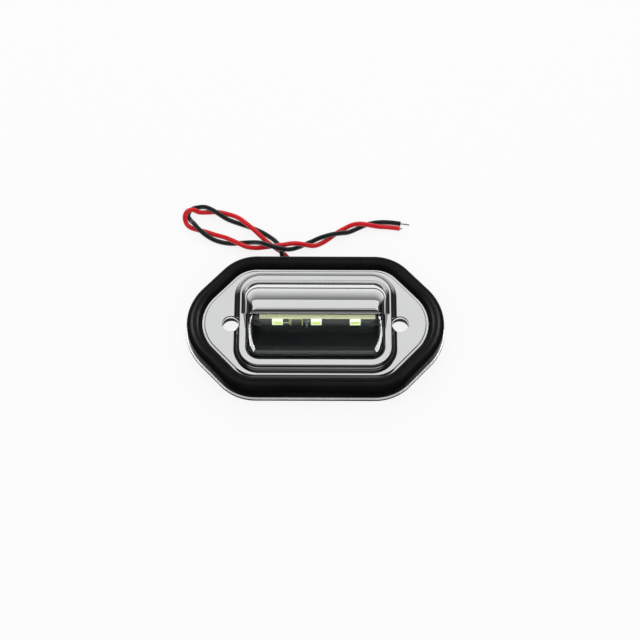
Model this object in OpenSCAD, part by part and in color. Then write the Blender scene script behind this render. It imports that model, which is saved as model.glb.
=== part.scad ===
// Clearance lamp lying on its back: rubber gasket, chrome cover with a hood,
// clear dome lens, three-LED board inside and a twisted two-core lead.
// Millimetres. Z = 0 is the underside of the gasket, +X along the lamp,
// +Y to the closed back of the hood, +Z out of the mounting face.

/* [Gasket] */
// Half length of the gasket
gasket_hx = 43; // [42:0.5:44.5]
// Half height of the gasket
gasket_hy = 25.8; // [25.2:0.1:27]
// Radius of the two tips
gasket_tip_r = 19.5; // [17:0.5:21]
// Radius of the four shoulders
gasket_shoulder_r = 15.5; // [14:0.5:17]
// Angle of the slanted sides from the long axis
slant = 47.5; // [46:0.5:50]
// Width of the foot lip outside the bead
lip_w = 0.5; // [0.3:0.1:0.7]
// Thickness of the foot lip
lip_t = 1; // [0.6:0.1:1.4]
// Width of the rounded bead
bead_w = 4.9; // [4.6:0.1:5]
// Height of the bead above the ledge
bead_h = 2.1; // [1.5:0.1:2.6]
// Thickness of the rubber under the cover
ledge_t = 4.8; // [4.8:0.1:5.2]
// Gap between the bead and the cover
seat_gap = 0.1; // [0.05:0.05:0.2]
// Width of the screw slots in the rubber
slot_w = 6; // [5.8:0.1:6.2]
// Distance between the end centres of a screw slot
slot_run = 2.4; // [1:0.2:3]

/* [Cover] */
// Thickness of the flange
flange_t = 1.2; // [1:0.1:1.6]
// Radius of the rolled flange edge
flange_roll = 0.9; // [0.5:0.1:1]
// Distance from the rim foot to the middle of a screw hole
hole_out = 1.6; // [1.4:0.1:2]
// Offset of the screw holes towards the hood
hole_y = -0.5; // [-1:0.5:1]
// Diameter of the screw holes
hole_d = 5.5; // [4.2:0.1:5.6]
// Distance from the tip of the gasket to the rim foot
rim_end = 16.6; // [16.4:0.1:16.9]
// Distance from the long side of the gasket to the rim foot
rim_side = 7.8; // [7.5:0.1:7.9]
// Corner radius of the rim at its foot
rim_r = 8.2; // [7.6:0.2:9]
// Horizontal run of the rim wall from foot to top
rim_run = 1.6; // [1.5:0.1:1.8]
// Width of the flat top of the rim
rim_flat = 1.8; // [1.6:0.1:1.9]
// Height of the rim above the flange
rim_h = 2; // [1.8:0.1:2.4]
// Radius of the hollow where the rim meets the flange
rim_foot_r = 0.9; // [0.6:0.1:1]
// Radius of the outer top edge of the rim
rim_top_r = 0.5; // [0.3:0.1:0.6]

/* [Hood] */
// Height of the hood above the rim
hood_h = 7.9; // [7.6:0.1:8.4]
// Distance from the rim foot to the back of the hood
hood_back = 3.7; // [3.6:0.1:4]
// Distance from the rim foot to the hood end
hood_step = 2.5; // [2.4:0.1:2.8]
// Radius of the hood corners seen from above
hood_corner_r = 4.9; // [4.4:0.1:5.5]
// Radius over the hood ends
hood_end_r = 2.6; // [2.2:0.1:3]
// Draft angle of the hood ends
hood_draft = 6; // [4:1:8]
// Thickness of the hood
hood_t = 1.1; // [0.9:0.1:1.2]
// Radius of the rolled front lip
hood_lip_r = 1.3; // [1.2:0.1:1.5]
// Y of the hood edge where it meets the rim
hood_foot_y = 2.3; // [1.5:0.1:3]
// Radius of the fillet round the hood foot
hood_fillet = 0.8; // [0.5:0.1:0.9]

/* [Lens] */
// Thickness of the lens
lens_t = 1.2; // [1:0.1:1.3]
// Gap between lens and hood
lens_gap = 0.3; // [0.3:0.1:0.5]
// Gap between lens and rim
rim_gap = 0.5; // [0.4:0.1:0.6]
// Thickness of the lens flange under the cover
lens_flange_t = 1.4; // [1.2:0.1:1.5]
// Rubber left between the light box and a screw slot
box_wall = 0.6; // [0.4:0.1:0.8]
// Distance from the rim foot to the long sides of the light box
box_step = 1.9; // [1.6:0.1:2]
// How much tighter the light box corners are than the rim corners
box_round = 0.7; // [0:0.1:1]
// Gap between the light box and the rubber
box_gap = 0.3; // [0.2:0.1:0.4]

/* [Light box] */
// Underside of the light box above the mounting face
box_z = 0.3; // [0.2:0.1:0.5]
// Depth of the resin bed under the box floor
resin_t = 1.7; // [1.6:0.1:1.8]
// How far the resin stays inside the box
resin_sink = 0.2; // [0.1:0.1:0.3]
// Thickness of the box floor
floor_t = 1; // [0.8:0.1:1]
// Wall of the light box at its ends
box_end_t = 2.6; // [2.2:0.1:3]
// Wall of the light box along its sides
box_side_t = 2.9; // [2.5:0.1:3.2]
// Cut across the corners of the resin bed
resin_corner = 4; // [3.5:0.1:5]
// Width of the shelf that carries the floor
shelf_w = 1; // [0.6:0.1:1.2]

/* [LED board] */
// Room between the ends of the board and the lens
board_end_gap = 1.9; // [1.6:0.1:2.4]
// X of the board centre
board_x = 0.6; // [0:0.1:0.6]
// Thickness of the board
board_t = 1.6; // [1.2:0.2:1.6]
// Y of the LED side of the board
board_y = -2.2; // [-2.4:0.1:-2.1]
// Gap between the board and the lens above it
board_gap = 0.7; // [0.6:0.1:1]
// Clearance of the board in the floor slot
board_clear = 0.1; // [0.05:0.05:0.15]
// Pitch of the three LEDs
led_pitch = 12.7; // [12.4:0.1:12.8]
// X of the middle LED
led_x = 0.3; // [0:0.1:0.6]
// Length of an LED package
led_l = 3.5; // [3.2:0.1:3.8]
// Height of an LED package
led_h = 2.8; // [2.6:0.1:3]
// Depth of an LED package
led_d = 0.9; // [0.7:0.1:1]
// Wall of an LED package round its window
led_wall = 0.4; // [0.3:0.1:0.5]

/* [Small parts on the board] */
// Length of the diode body
diode_l = 1.6; // [1.4:0.1:1.8]
// Height of the diode body
diode_h = 2.7; // [2.4:0.1:3]
// Depth of the diode body
diode_d = 1; // [0.8:0.1:1.2]
// Length of a diode foot
foot_l = 0.9; // [0.7:0.1:1.1]
// Reach of a diode foot past the body
foot_out = 0.4; // [0.2:0.1:0.5]
// Thickness of a diode foot
foot_t = 0.3; // [0.2:0.1:0.4]
// Gap from an LED to the diode or a solder joint
part_gap = 0.4; // [0.3:0.1:0.5]
// Length of a resistor
resistor_l = 3.3; // [3:0.1:3.4]
// Height of a resistor
resistor_h = 1.6; // [1.4:0.1:1.7]
// Depth of a resistor
resistor_d = 0.6; // [0.4:0.1:0.7]
// Length of a resistor end cap
cap_l = 0.5; // [0.3:0.1:0.6]
// Height of an end cap above the resistor body
cap_rise = 0.1; // [0.05:0.05:0.1]
// Pitch of the two resistors
resistor_pitch = 2.2; // [2:0.1:2.6]
// Diameter of a solder joint at the board
joint_d = 1.8; // [1.4:0.1:2]
// Diameter of a solder joint at its tip
joint_tip = 0.8; // [0.6:0.1:1]
// Reach of a solder joint
joint_h = 0.9; // [0.7:0.1:1]
// Pitch of the two solder joints
joint_pitch = 3; // [2.6:0.1:3.4]

/* [Lead] */
// Outside diameter of one core
core_d = 1.6; // [1.4:0.1:1.6]
// Gap between the two cores
pair_gap = 0.3; // [0.2:0.05:0.3]
// X of the lead channel in the gasket
lead_x = -9.8; // [-10:0.1:-9.6]
// Clearance round the lead in its channel
lead_clear = 0.4; // [0.3:0.1:0.6]
// Length of the lead passage behind the board
pass_l = 4.6; // [4.4:0.1:5]
// Length of the lead notch in the light box
notch_l = 6.1; // [5.8:0.1:7]
// Bare length of the black core
black_bare = 3; // [1:0.5:5]
// Bare length of the red core
red_bare = 0.8; // [0.4:0.2:3]
// Diameter of the copper strands
copper_d = 0.8; // [0.6:0.1:0.9]

/* [Hidden] */
$fn = 64;
rim_hx = gasket_hx - rim_end;
rim_hy = gasket_hy - rim_side;
flange_z = ledge_t + flange_t;
rim_z = flange_z + rim_h;
hood_top = rim_z + hood_h;
hood_hx = rim_hx - hood_step;
hood_r = (pow(rim_hy - hood_back, 2) + pow(hood_h, 2)) / (2 * hood_h);
hole_spacing = 2 * (rim_hx + hole_out);
flange_in = lip_w + bead_w + seat_gap;
rim_in = rim_run + rim_flat;
lens_s = hood_t + lens_gap;
lens_front_y = rim_hy - rim_in - rim_gap;
lens_front_r = rim_r - rim_in - rim_gap;
lens_foot_z = ledge_t - lens_flange_t;
box_hx = hole_spacing / 2 - slot_w / 2 - box_wall - box_gap;
box_hy = rim_hy - box_step;
box_r = rim_r - box_round;
resin_hx = box_hx - box_end_t;
resin_hy = box_hy - box_side_t;
floor_z = box_z + resin_sink + resin_t;
board_top = hood_top - lens_s - lens_t - board_gap;
board_l = 2 * (end_x(board_top, lens_s + lens_t) - board_end_gap);
diode_x = led_x - led_pitch + led_l / 2 + part_gap + diode_l / 2;
joint_x = led_x - led_l / 2 - part_gap - joint_d / 2;
resistor_x = (diode_x + diode_l / 2 + joint_x - joint_d / 2) / 2;
corner_n = 7;
level_n = 13;
core_r = core_d / 2;
pair_r = (core_d + pair_gap) / 2;
channel_w = 2 * core_d + pair_gap + 2 * lead_clear;
channel_h = core_d + lead_clear + 0.2;

// Pair centre from the board to the free end: x, y, height of the lower
// core's axis, twist in degrees. The helix is added by the loop below.
route = [
  [-2.8, 0.75, 9, -180], [-2.8, 0.85, 4.6, -180], [-2.8, 1.35, 2.6, -180],
  [-2.95, 2.8, 1.15, -180], [-4, 5, 0.9, -180], [-8.5, 10.3, 0.85, -180],
  [-9.8, 14, 0.8, -180], [-9.8, 24.6, 0.8, -180], [-10.4, 27.3, 0.8, -150],
  [-12, 30, 0.8, -90], [-14.2, 32.7, 0.8, -35], [-17, 35.3, 0.8, 5],
  [-20.4, 37.8, 0.8, 50], [-23.8, 39.9, 0.8, 90], [-26.9, 41.8, 0.8, 135],
  [-30, 43.4, 0.8, 180], [-33.4, 44.7, 0.8, 230], [-36.5, 45.5, 0.8, 285],
  [-39.3, 46.1, 0.8, 345], [-41.9, 46, 0.8, 405], [-43.7, 44.5, 0.8, 455],
  [-43.9, 42.4, 0.8, 505], [-42.5, 40.1, 0.8, 570], [-40.2, 38.2, 0.8, 635],
  [-37.4, 36.7, 0.8, 685], [-34.2, 35.2, 0.8, 725], [-31, 33.9, 0.8, 765],
  [-28, 32.9, 0.9, 810], [-25.1, 32.3, 1.2, 858], [-22.2, 31.7, 1.9, 905],
  [-19.5, 30.8, 2.8, 945], [-16.8, 30, 3.7, 990], [-13.9, 29.5, 4.3, 1030],
  [-10.9, 29.6, 4.2, 1070], [-8, 30.4, 3, 1120], [-5.3, 31.3, 1.8, 1170],
  [-2.6, 32.3, 1, 1225], [0.4, 33.4, 0.8, 1280], [3.3, 34.6, 0.8, 1325],
  [6, 36, 0.8, 1365], [8.7, 37.4, 0.8, 1410], [11.6, 38.7, 0.8, 1460],
  [14.7, 39.6, 0.8, 1515], [18, 40.2, 0.8, 1570], [21.4, 40.5, 0.8, 1610],
  [25, 40.4, 0.8, 1620], [28.7, 39.9, 0.8, 1620]];
ring_step = 3.7;
// Rounds the change from one core on top to the other.
lift_ease = 0.08;

// Points of the rounded hexagon that gasket and flange share, moved inward.
function hexagon(inset, z) =
  let (na = 90 - slant,
       rt = gasket_tip_r - inset,
       rs = gasket_shoulder_r - inset,
       tx = gasket_hx - gasket_tip_r,
       sy = gasket_hy - gasket_shoulder_r,
       sx = tx + (gasket_tip_r - gasket_shoulder_r - sy * sin(na)) / cos(na))
  [for (c = [[tx, 0, rt, -na, na], [sx, sy, rs, na, 90], [-sx, sy, rs, 90, 180 - na],
             [-tx, 0, rt, 180 - na, 180 + na], [-sx, -sy, rs, 180 + na, 270],
             [sx, -sy, rs, 270, 360 - na]])
    let (n = ceil((c[4] - c[3]) / 8))
    for (k = [0 : n])
      let (t = c[3] + (c[4] - c[3]) * k / n)
      [c[0] + c[2] * cos(t), c[1] + c[2] * sin(t), z]];

// Four corner arcs [centre x, centre y, radius, first angle] of a rounded rectangle.
function oblong(hx, hy, r) =
  [[hx - r, hy - r, r, 0], [r - hx, hy - r, r, 90],
   [r - hx, r - hy, r, 180], [hx - r, r - hy, r, 270]];

rim = oblong(rim_hx, rim_hy, rim_r);

// Sweeps a closed profile of [distance inward, height] points round four corners.
module sweep(arcs, profile) {
  for (i = [0 : 3]) {
    a = arcs[i];
    b = arcs[(i + 1) % 4];
    translate([a[0], a[1], 0])
      rotate([0, 0, a[3]])
        rotate_extrude(angle = 90)
          polygon([for (p = profile) [a[2] - p[0], p[1]]]);
    translate([b[0], b[1], 0])
      rotate([0, 0, a[3] + 90])
        translate([b[2], 0, 0])
          rotate([90, 0, 0])
            linear_extrude(norm([b[0] - a[0], b[1] - a[1]]))
              polygon([for (p = profile) [-p[0], p[1]]]);
  }
}

// Solid slab inside four corner arcs.
module slab(arcs, z0, z1, inset = 0) {
  h = z1 - z0;
  r = arcs[0][2] - inset;
  x = arcs[0][0];
  y = arcs[0][1];
  translate([-x - r, -y, z0])
    cube([2 * (x + r), 2 * y, h]);
  translate([-x, -y - r, z0])
    cube([2 * x, 2 * (y + r), h]);
  for (a = arcs)
    translate([a[0], a[1], z0])
      rotate([0, 0, a[3]])
        rotate_extrude(angle = 90)
          square([r, h]);
}

// One level of a dome: rounded rectangle from y0 (front) to y1 (back).
function level(hx, y0, y1, r0, r1, z) =
  [for (c = [[hx - r0, y0 + r0, r0, -90], [hx - r1, y1 - r1, r1, 0],
             [r1 - hx, y1 - r1, r1, 90], [r0 - hx, y0 + r0, r0, 180]])
    for (k = [0 : corner_n - 1])
      let (t = c[3] + 90 * k / (corner_n - 1))
      [c[0] + c[2] * cos(t), c[1] + c[2] * sin(t), z]];

// Closed solid through a list of rings with the same number of points.
module loft(rings) {
  n = len(rings[0]);
  m = len(rings);
  polyhedron(
    points = [for (l = rings) each l],
    faces = concat(
      [[for (i = [0 : n - 1]) i], [for (i = [0 : n - 1]) n * m - 1 - i]],
      [for (j = [0 : m - 2]) for (i = [0 : n - 1])
        each [[j * n + i, (j + 1) * n + i, (j + 1) * n + (i + 1) % n],
              [j * n + i, (j + 1) * n + (i + 1) % n, j * n + (i + 1) % n]]]));
}

// Hood surface moved inward by s: its back and its ends at height z.
function back_y(z, s) = sqrt(pow(hood_r - s, 2) - pow(hood_r - hood_top + max(z, rim_z), 2));
function end_x(z, s) =
  let (r = max(hood_end_r - s, 0.5),
       top = hood_top - s,
       foot = hood_hx - s,
       knee = foot - (top - r - rim_z) * tan(hood_draft))
  z <= rim_z ? foot
  : z < top - r ? foot - (z - rim_z) * tan(hood_draft)
  : knee - r + sqrt(pow(r, 2) - pow(z - top + r, 2));
function corner_r(r, y0, y1) = max(min(r, 0.42 * (y1 - y0)), 0.3);

// Front edge of the hood: leaning side edges, then the rolled lip.
function lip_y(z) =
  let (knee_z = hood_top - hood_lip_r, knee_y = -hood_lip_r - 0.1)
  z <= rim_z ? hood_foot_y
  : z <= knee_z ? hood_foot_y + (knee_y - hood_foot_y) * (z - rim_z) / (knee_z - rim_z)
  : knee_y + hood_lip_r - sqrt(pow(hood_lip_r, 2) - pow(z - knee_z, 2));

// Fillet round the hood foot, as extra reach over the rim.
function flare(z) =
  let (d = (rim_z + hood_fillet - max(z, rim_z)) / hood_fillet)
  d <= 0 ? 0 : hood_fillet * (1 - sqrt(max(1 - pow(d, 2), 0)));

// Front of the lens dome, an ellipse that stands upright at the rim.
function lens_y(z, s) =
  let (b = hood_h - lens_s - s)
  -(lens_front_y - s) * sqrt(max(1 - pow(max(z - rim_z, 0) / b, 2), 0));

// Heights of the dome levels, closer together near the top.
function heights(z0, z1) = [for (k = [0 : level_n]) z0 + (z1 - z0) * sin(90 * k / level_n)];

module hood() {
  difference() {
    loft([for (z = concat([ledge_t + 0.4, rim_z, rim_z + 0.1, rim_z + 0.25, rim_z + 0.5],
                          heights(rim_z + hood_fillet, hood_top - 0.02)))
      let (f = flare(z), y0 = lip_y(z), y1 = back_y(z, 0) + f)
      level(end_x(z, 0) + f, y0, y1, 0.3, corner_r(hood_corner_r, y0, y1) + f, z)]);
    loft([for (z = concat([0], heights(rim_z, hood_top - hood_t - 0.02)))
      let (y1 = back_y(z, hood_t))
      level(end_x(z, hood_t), -gasket_hy, y1, 1, hood_corner_r - hood_t, z)]);
  }
}

module dome(s, z0) {
  t = lens_s + s;
  loft([for (z = concat([z0], heights(rim_z, hood_top - t - 0.02)))
    let (y0 = lens_y(z, s), y1 = back_y(z, t))
    level(end_x(z, t), y0, y1, corner_r(lens_front_r - s, y0, y1),
          corner_r(hood_corner_r - t, y0, y1), z)]);
}

module at_screws() {
  for (side = [-1, 1])
    translate([side * hole_spacing / 2, hole_y, 0])
      children();
}

// Bead with its foot lip, and the ledge the cover sits on.
module rubber_gasket() {
  arch = 0.6;
  half = bead_w / 2;
  color([0.07, 0.07, 0.07])
  difference() {
    loft([for (p = concat(
      [[0.25, 0], [0, 0.25], [0, lip_t - 0.25], [0.2, lip_t], [lip_w, lip_t + 0.1]],
      [for (k = [0 : 12]) [lip_w + half - half * cos(15 * k),
                           ledge_t + arch + (bead_h - arch) * sin(15 * k)]],
      [[lip_w + bead_w, ledge_t]]))
      hexagon(p[0], p[1])]);
    slab(oblong(box_hx + box_gap, box_hy + box_gap, box_r + box_gap), -1, ledge_t + 1);
    at_screws()
      for (end = [-1, 1])
        translate([0, end * slot_run / 2, -1])
          cylinder(d = slot_w, h = ledge_t + 2);
    at_screws()
      translate([-slot_w / 2, -slot_run / 2, -1])
        cube([slot_w, slot_run, ledge_t + 2]);
    translate([lead_x - channel_w / 2, box_hy - 2, -1])
      cube([channel_w, gasket_hy, channel_h + 1]);
  }
}

// Flange with a rolled edge, raised rim, hood and two screw holes in one piece.
module chrome_cover() {
  d = flange_in;
  color([0.82, 0.83, 0.84])
  union() {
    difference() {
      union() {
        loft([for (p = concat(
          [[d, ledge_t]],
          [for (k = [0 : 6]) [d + flange_roll * (1 - cos(15 * k)),
                              flange_z - flange_roll * (1 - sin(15 * k))]]))
          hexagon(p[0], p[1])]);
        sweep(rim, concat(
          [[rim_in, ledge_t + 0.4], [0, ledge_t + 0.4]],
          [for (k = [0 : 5]) [rim_foot_r * sin(15 * k), flange_z + rim_foot_r * (1 - cos(15 * k))]],
          [for (k = [3 : -1 : 0]) [rim_run - rim_top_r * sin(25 * k), rim_z - rim_top_r * (1 - cos(25 * k))]],
          [[rim_in - 0.2, rim_z], [rim_in, rim_z - 0.2]]));
      }
      slab(rim, ledge_t - 1, rim_z + 1, rim_in);
      at_screws()
        translate([0, 0, ledge_t - 1])
          cylinder(d = hole_d, h = flange_t + rim_h + 2);
    }
    hood();
  }
}

// Dome with a flat flange that the cover holds down.
module clear_lens() {
  color([0.8, 0.85, 0.85, 0.4])
  difference() {
    union() {
      slab(oblong(box_hx, box_hy, box_r), lens_foot_z, ledge_t);
      dome(0, lens_foot_z + 0.2);
    }
    dome(lens_t, 0);
  }
}

module bed(hx, hy, z0, z1) {
  c = resin_corner;
  translate([0, 0, z0])
    linear_extrude(z1 - z0)
      polygon([[c - hx, -hy], [hx - c, -hy], [hx, c - hy], [hx, hy - c],
               [hx - c, hy], [c - hx, hy], [-hx, hy - c], [-hx, c - hy]]);
}

// Black tray behind the lens with a slot for the board.
module light_box() {
  color([0.1, 0.11, 0.11])
  difference() {
    slab(oblong(box_hx, box_hy, box_r), box_z, lens_foot_z);
    bed(resin_hx, resin_hy, box_z - 1, floor_z);
    bed(resin_hx - shelf_w, resin_hy - shelf_w, floor_z + floor_t, ledge_t);
    translate([board_x - board_l / 2 - board_clear, board_y - board_clear, floor_z - 1])
      cube([board_l + 2 * board_clear, board_t + 2 * board_clear, lens_foot_z - floor_z + 2]);
    translate([route[0][0] - channel_w / 2, board_y + board_t, floor_z - 1])
      cube([channel_w, pass_l, lens_foot_z - floor_z + 2]);
    translate([lead_x - channel_w / 2, box_hy - notch_l, box_z - 1])
      cube([channel_w, notch_l + 1, channel_h - box_z + 1]);
  }
}

// Sealing resin that fills the back of the light box round the lead.
module back_resin() {
  color([0.16, 0.16, 0.17])
  difference() {
    bed(resin_hx, resin_hy, box_z + resin_sink, floor_z);
    core_tube(1, lead_clear / 4, 0, 8);
    core_tube(-1, lead_clear / 4, 0, 8);
  }
}

// Board that stands in the floor slot with its LED side to the open front.
module led_board() {
  color([0.7, 0.72, 0.56])
  translate([board_x - board_l / 2, board_y, floor_z])
    cube([board_l, board_t, board_top - floor_z]);
}

// A block on the LED side of the board, from its top edge down.
module on_board(x, w, d, h, drop = 0) {
  translate([x - w / 2, board_y - d, board_top - drop - h])
    cube([w, d, h]);
}

module led(x) {
  color([0.95, 0.95, 0.9])
  difference() {
    on_board(x, led_l, led_d, led_h);
    window(x);
  }
}

module window(x) {
  translate([x - led_l / 2 + led_wall, board_y - led_d, board_top - led_h + led_wall])
    cube([led_l - 2 * led_wall, led_d / 3, led_h - 2 * led_wall]);
}

module phosphor(x) {
  color([0.9, 0.9, 0.3])
  window(x);
}

module led_left() {
  led(led_x - led_pitch);
}

module led_middle() {
  led(led_x);
}

module led_right() {
  led(led_x + led_pitch);
}

module phosphor_left() {
  phosphor(led_x - led_pitch);
}

module phosphor_middle() {
  phosphor(led_x);
}

module phosphor_right() {
  phosphor(led_x + led_pitch);
}

// Moulded body between two bent metal ends.
module diode() {
  color([0.15, 0.15, 0.16])
  union() {
    on_board(diode_x, diode_l, diode_d, diode_h, foot_out);
    on_board(diode_x, foot_l, foot_t, diode_h + 2 * foot_out);
  }
}

// Ceramic chip with two end caps.
module resistor(drop) {
  end = (resistor_l - cap_l) / 2;
  color([0.2, 0.2, 0.22])
  union() {
    on_board(resistor_x, 2 * end, resistor_d - cap_rise, resistor_h - cap_rise, drop + cap_rise / 2);
    for (side = [-1, 1])
      on_board(resistor_x + side * end, cap_l, resistor_d, resistor_h, drop);
  }
}

module resistor_upper() {
  resistor(part_gap);
}

module resistor_lower() {
  resistor(part_gap + resistor_pitch);
}

// Two joints of the lead on the LED side of the board.
module solder_joints() {
  color([0.75, 0.76, 0.78])
  for (k = [0, 1])
    translate([joint_x, board_y, board_top - part_gap - joint_d / 2 - k * joint_pitch])
      rotate([90, 0, 0])
        cylinder(d1 = joint_d, d2 = joint_tip, h = joint_h);
}

// Smooth curve through the route, sampled about every ring_step.
function spline(a, b, c, d, t) =
  0.5 * (2 * b + (c - a) * t + (2 * a - 5 * b + 4 * c - d) * t * t + (3 * b - a - 3 * c + d) * t * t * t);
lead = [for (i = [0 : len(route) - 2])
  let (a = route[max(i - 1, 0)], b = route[i], c = route[i + 1], d = route[min(i + 2, len(route) - 1)],
       n = i < 7 ? 1 : max(1, round(norm([c[0] - b[0], c[1] - b[1]]) / ring_step)))
  for (k = [0 : n - (i == len(route) - 2 ? 0 : 1)]) spline(a, b, c, d, k / n)];

// Left-hand normal of the pair in plan at station i.
function normal(i) =
  let (p = lead[max(i - 1, 0)], q = lead[min(i + 1, len(lead) - 1)], d = [p[1] - q[1], q[0] - p[0], 0])
  d / norm(d);
function core_at(i, side) =
  let (s = lead[i], n = normal(i), lift = max(s[2], core_r) + pair_r * sqrt(pow(sin(s[3]), 2) + lift_ease))
  [s[0], s[1], lift] + side * pair_r * (cos(s[3]) * n + [0, 0, sin(s[3])]);
function core_dir(i, side) =
  let (d = core_at(min(i + 1, len(lead) - 1), side) - core_at(max(i - 1, 0), side))
  d / norm(d);

// Tube round one core, side 1 for red and -1 for black.
module core_tube(side, grow = 0, first = 0, last = len(lead) - 1) {
  loft([for (i = [first : last])
    let (t = core_dir(i, side), n = normal(i) - (normal(i) * t) * t, u = n / norm(n), v = cross(t, u))
    [for (k = [0 : 7]) core_at(i, side) + (core_r + grow) * (cos(45 * k) * u + sin(45 * k) * v)]]);
}

// Bare strands that stick out of the end of one core.
module strands(side, bare) {
  d = core_dir(len(lead) - 1, side);
  translate(core_at(len(lead) - 1, side) + 0.02 * d)
    rotate([0, acos(d[2]), atan2(d[1], d[0])])
      cylinder(d = copper_d, h = bare);
}

module red_wire() {
  color([0.83, 0.1, 0.13])
  core_tube(1);
}

module black_wire() {
  color([0.1, 0.12, 0.12])
  core_tube(-1);
}

module red_conductor() {
  color([0.8, 0.55, 0.4])
  strands(1, red_bare);
}

module black_conductor() {
  color([0.75, 0.75, 0.75])
  strands(-1, black_bare);
}

rubber_gasket();
chrome_cover();
clear_lens();
light_box();
back_resin();
led_board();
led_left();
led_middle();
led_right();
phosphor_left();
phosphor_middle();
phosphor_right();
diode();
resistor_upper();
resistor_lower();
solder_joints();
red_wire();
black_wire();
red_conductor();
black_conductor();
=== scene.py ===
# %% [markdown]
# # A chrome clearance lamp
#
# This lesson dresses a small car lamp that lies on its back on a white table.
# The solid parts are already packed: a rubber gasket, a chrome cover with a
# hood, a clear lens, a light box with a three-LED board, and a twisted lead.
# The script loads them, keeps their sizes, and gives every surface its finish.

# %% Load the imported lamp
from math import acos, atan2, ceil, cos, degrees, pi, radians, sin, sqrt, tan

import bpy
from mathutils import Matrix, Vector


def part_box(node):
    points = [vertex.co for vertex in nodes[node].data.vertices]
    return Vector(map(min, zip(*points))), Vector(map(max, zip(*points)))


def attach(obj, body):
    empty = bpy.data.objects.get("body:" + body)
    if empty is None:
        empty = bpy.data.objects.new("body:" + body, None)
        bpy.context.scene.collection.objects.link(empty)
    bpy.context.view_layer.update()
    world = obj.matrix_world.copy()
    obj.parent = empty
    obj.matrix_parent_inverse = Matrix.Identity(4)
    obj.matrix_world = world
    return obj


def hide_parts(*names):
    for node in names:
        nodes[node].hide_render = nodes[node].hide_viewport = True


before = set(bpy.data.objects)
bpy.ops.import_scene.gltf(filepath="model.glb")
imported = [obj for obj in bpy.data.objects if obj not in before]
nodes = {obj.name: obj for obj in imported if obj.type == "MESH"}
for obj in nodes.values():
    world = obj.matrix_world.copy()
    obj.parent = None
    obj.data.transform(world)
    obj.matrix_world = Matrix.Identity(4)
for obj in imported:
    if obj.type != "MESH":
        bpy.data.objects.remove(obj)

MM = 0.001
scene = bpy.context.scene
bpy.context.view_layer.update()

# %% [markdown]
# ## Sizes
#
# The lamp is measured in millimetres. The overall half sizes come from the
# packed gasket, and the rest repeats the sizes of the solids, so that a finer
# surface lies exactly where the solid one does. Z = 0 is the table, +X runs
# along the lamp and +Y points to the closed back of the hood.

# %% Sizes of the lamp in millimetres
gasket_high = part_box("rubber_gasket")[1]
HALF_LENGTH = gasket_high.x / MM
HALF_HEIGHT = gasket_high.y / MM
TIP_R, SHOULDER_R, SLANT = 19.5, 15.5, 47.5
LIP_W, LIP_T = 0.5, 1.0
BEAD_W, BEAD_H, BEAD_ARCH = 4.9, 2.1, 0.6
LEDGE_T, SEAT_GAP = 4.8, 0.1
SLOT_W, SLOT_RUN = 6.0, 2.4

FLANGE_T = 1.2
RIM_END, RIM_SIDE, RIM_R = 16.6, 7.8, 8.2
RIM_RUN, RIM_FLAT, RIM_H = 1.6, 1.8, 2.0
RIM_FOOT_R, RIM_FOOT_OUT, RIM_TOP_R = 2.19, 1.0, 0.5
HOLE_OUT, HOLE_Y, HOLE_D, HOLE_EDGE = 1.6, -0.5, 5.5, 0.25

HOOD_H, HOOD_BACK, HOOD_STEP = 7.9, 3.7, 2.5
HOOD_CORNER_R, HOOD_END_R, HOOD_DRAFT = 4.9, 4.0, 6.0
HOOD_T, HOOD_LIP_R, HOOD_FOOT_Y, HOOD_FILLET = 1.1, 1.3, 2.3, 0.8

LENS_T, LENS_GAP, RIM_GAP, LENS_FLANGE_T = 1.2, 0.3, 0.5, 1.4
BOX_WALL, BOX_STEP, BOX_ROUND, BOX_GAP = 0.6, 1.9, 0.7, 0.3

RIM_HX = HALF_LENGTH - RIM_END
RIM_HY = HALF_HEIGHT - RIM_SIDE
RIM_IN = RIM_RUN + RIM_FLAT
FLANGE_IN = LIP_W + BEAD_W + SEAT_GAP
FLANGE_Z = LEDGE_T + FLANGE_T
RIM_Z = FLANGE_Z + RIM_H
HOOD_TOP = RIM_Z + HOOD_H
HOOD_HX = RIM_HX - HOOD_STEP
HOOD_R = ((RIM_HY - HOOD_BACK) ** 2 + HOOD_H ** 2) / (2 * HOOD_H)
HOLE_X = RIM_HX + HOLE_OUT
LENS_S = HOOD_T + LENS_GAP
LENS_FRONT_Y = RIM_HY - RIM_IN - RIM_GAP
LENS_FRONT_R = RIM_R - RIM_IN - RIM_GAP
LENS_FOOT_Z = LEDGE_T - LENS_FLANGE_T
BOX_HX = HOLE_X - SLOT_W / 2 - BOX_WALL - BOX_GAP
BOX_HY = RIM_HY - BOX_STEP
BOX_R = RIM_R - BOX_ROUND
print(f"gasket {2 * HALF_LENGTH:.1f} x {2 * HALF_HEIGHT:.1f} mm, hood top {HOOD_TOP:.1f} mm")

# %% [markdown]
# ## Camera
#
# The photograph looks down on the lamp from 62 degrees, straight from its
# front, with a long lens that keeps parallel edges nearly parallel. The camera
# is set by the distance and by the width that the square picture covers.

# %% Camera at the photograph's angle
CAMERA_ELEVATION = radians(62.0)
CAMERA_DISTANCE = 700.0
PICTURE_WIDTH = 211.1
CAMERA_ROLL = radians(0.2)
AIM = Vector((1.5, 1.0, 6.0))

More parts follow.
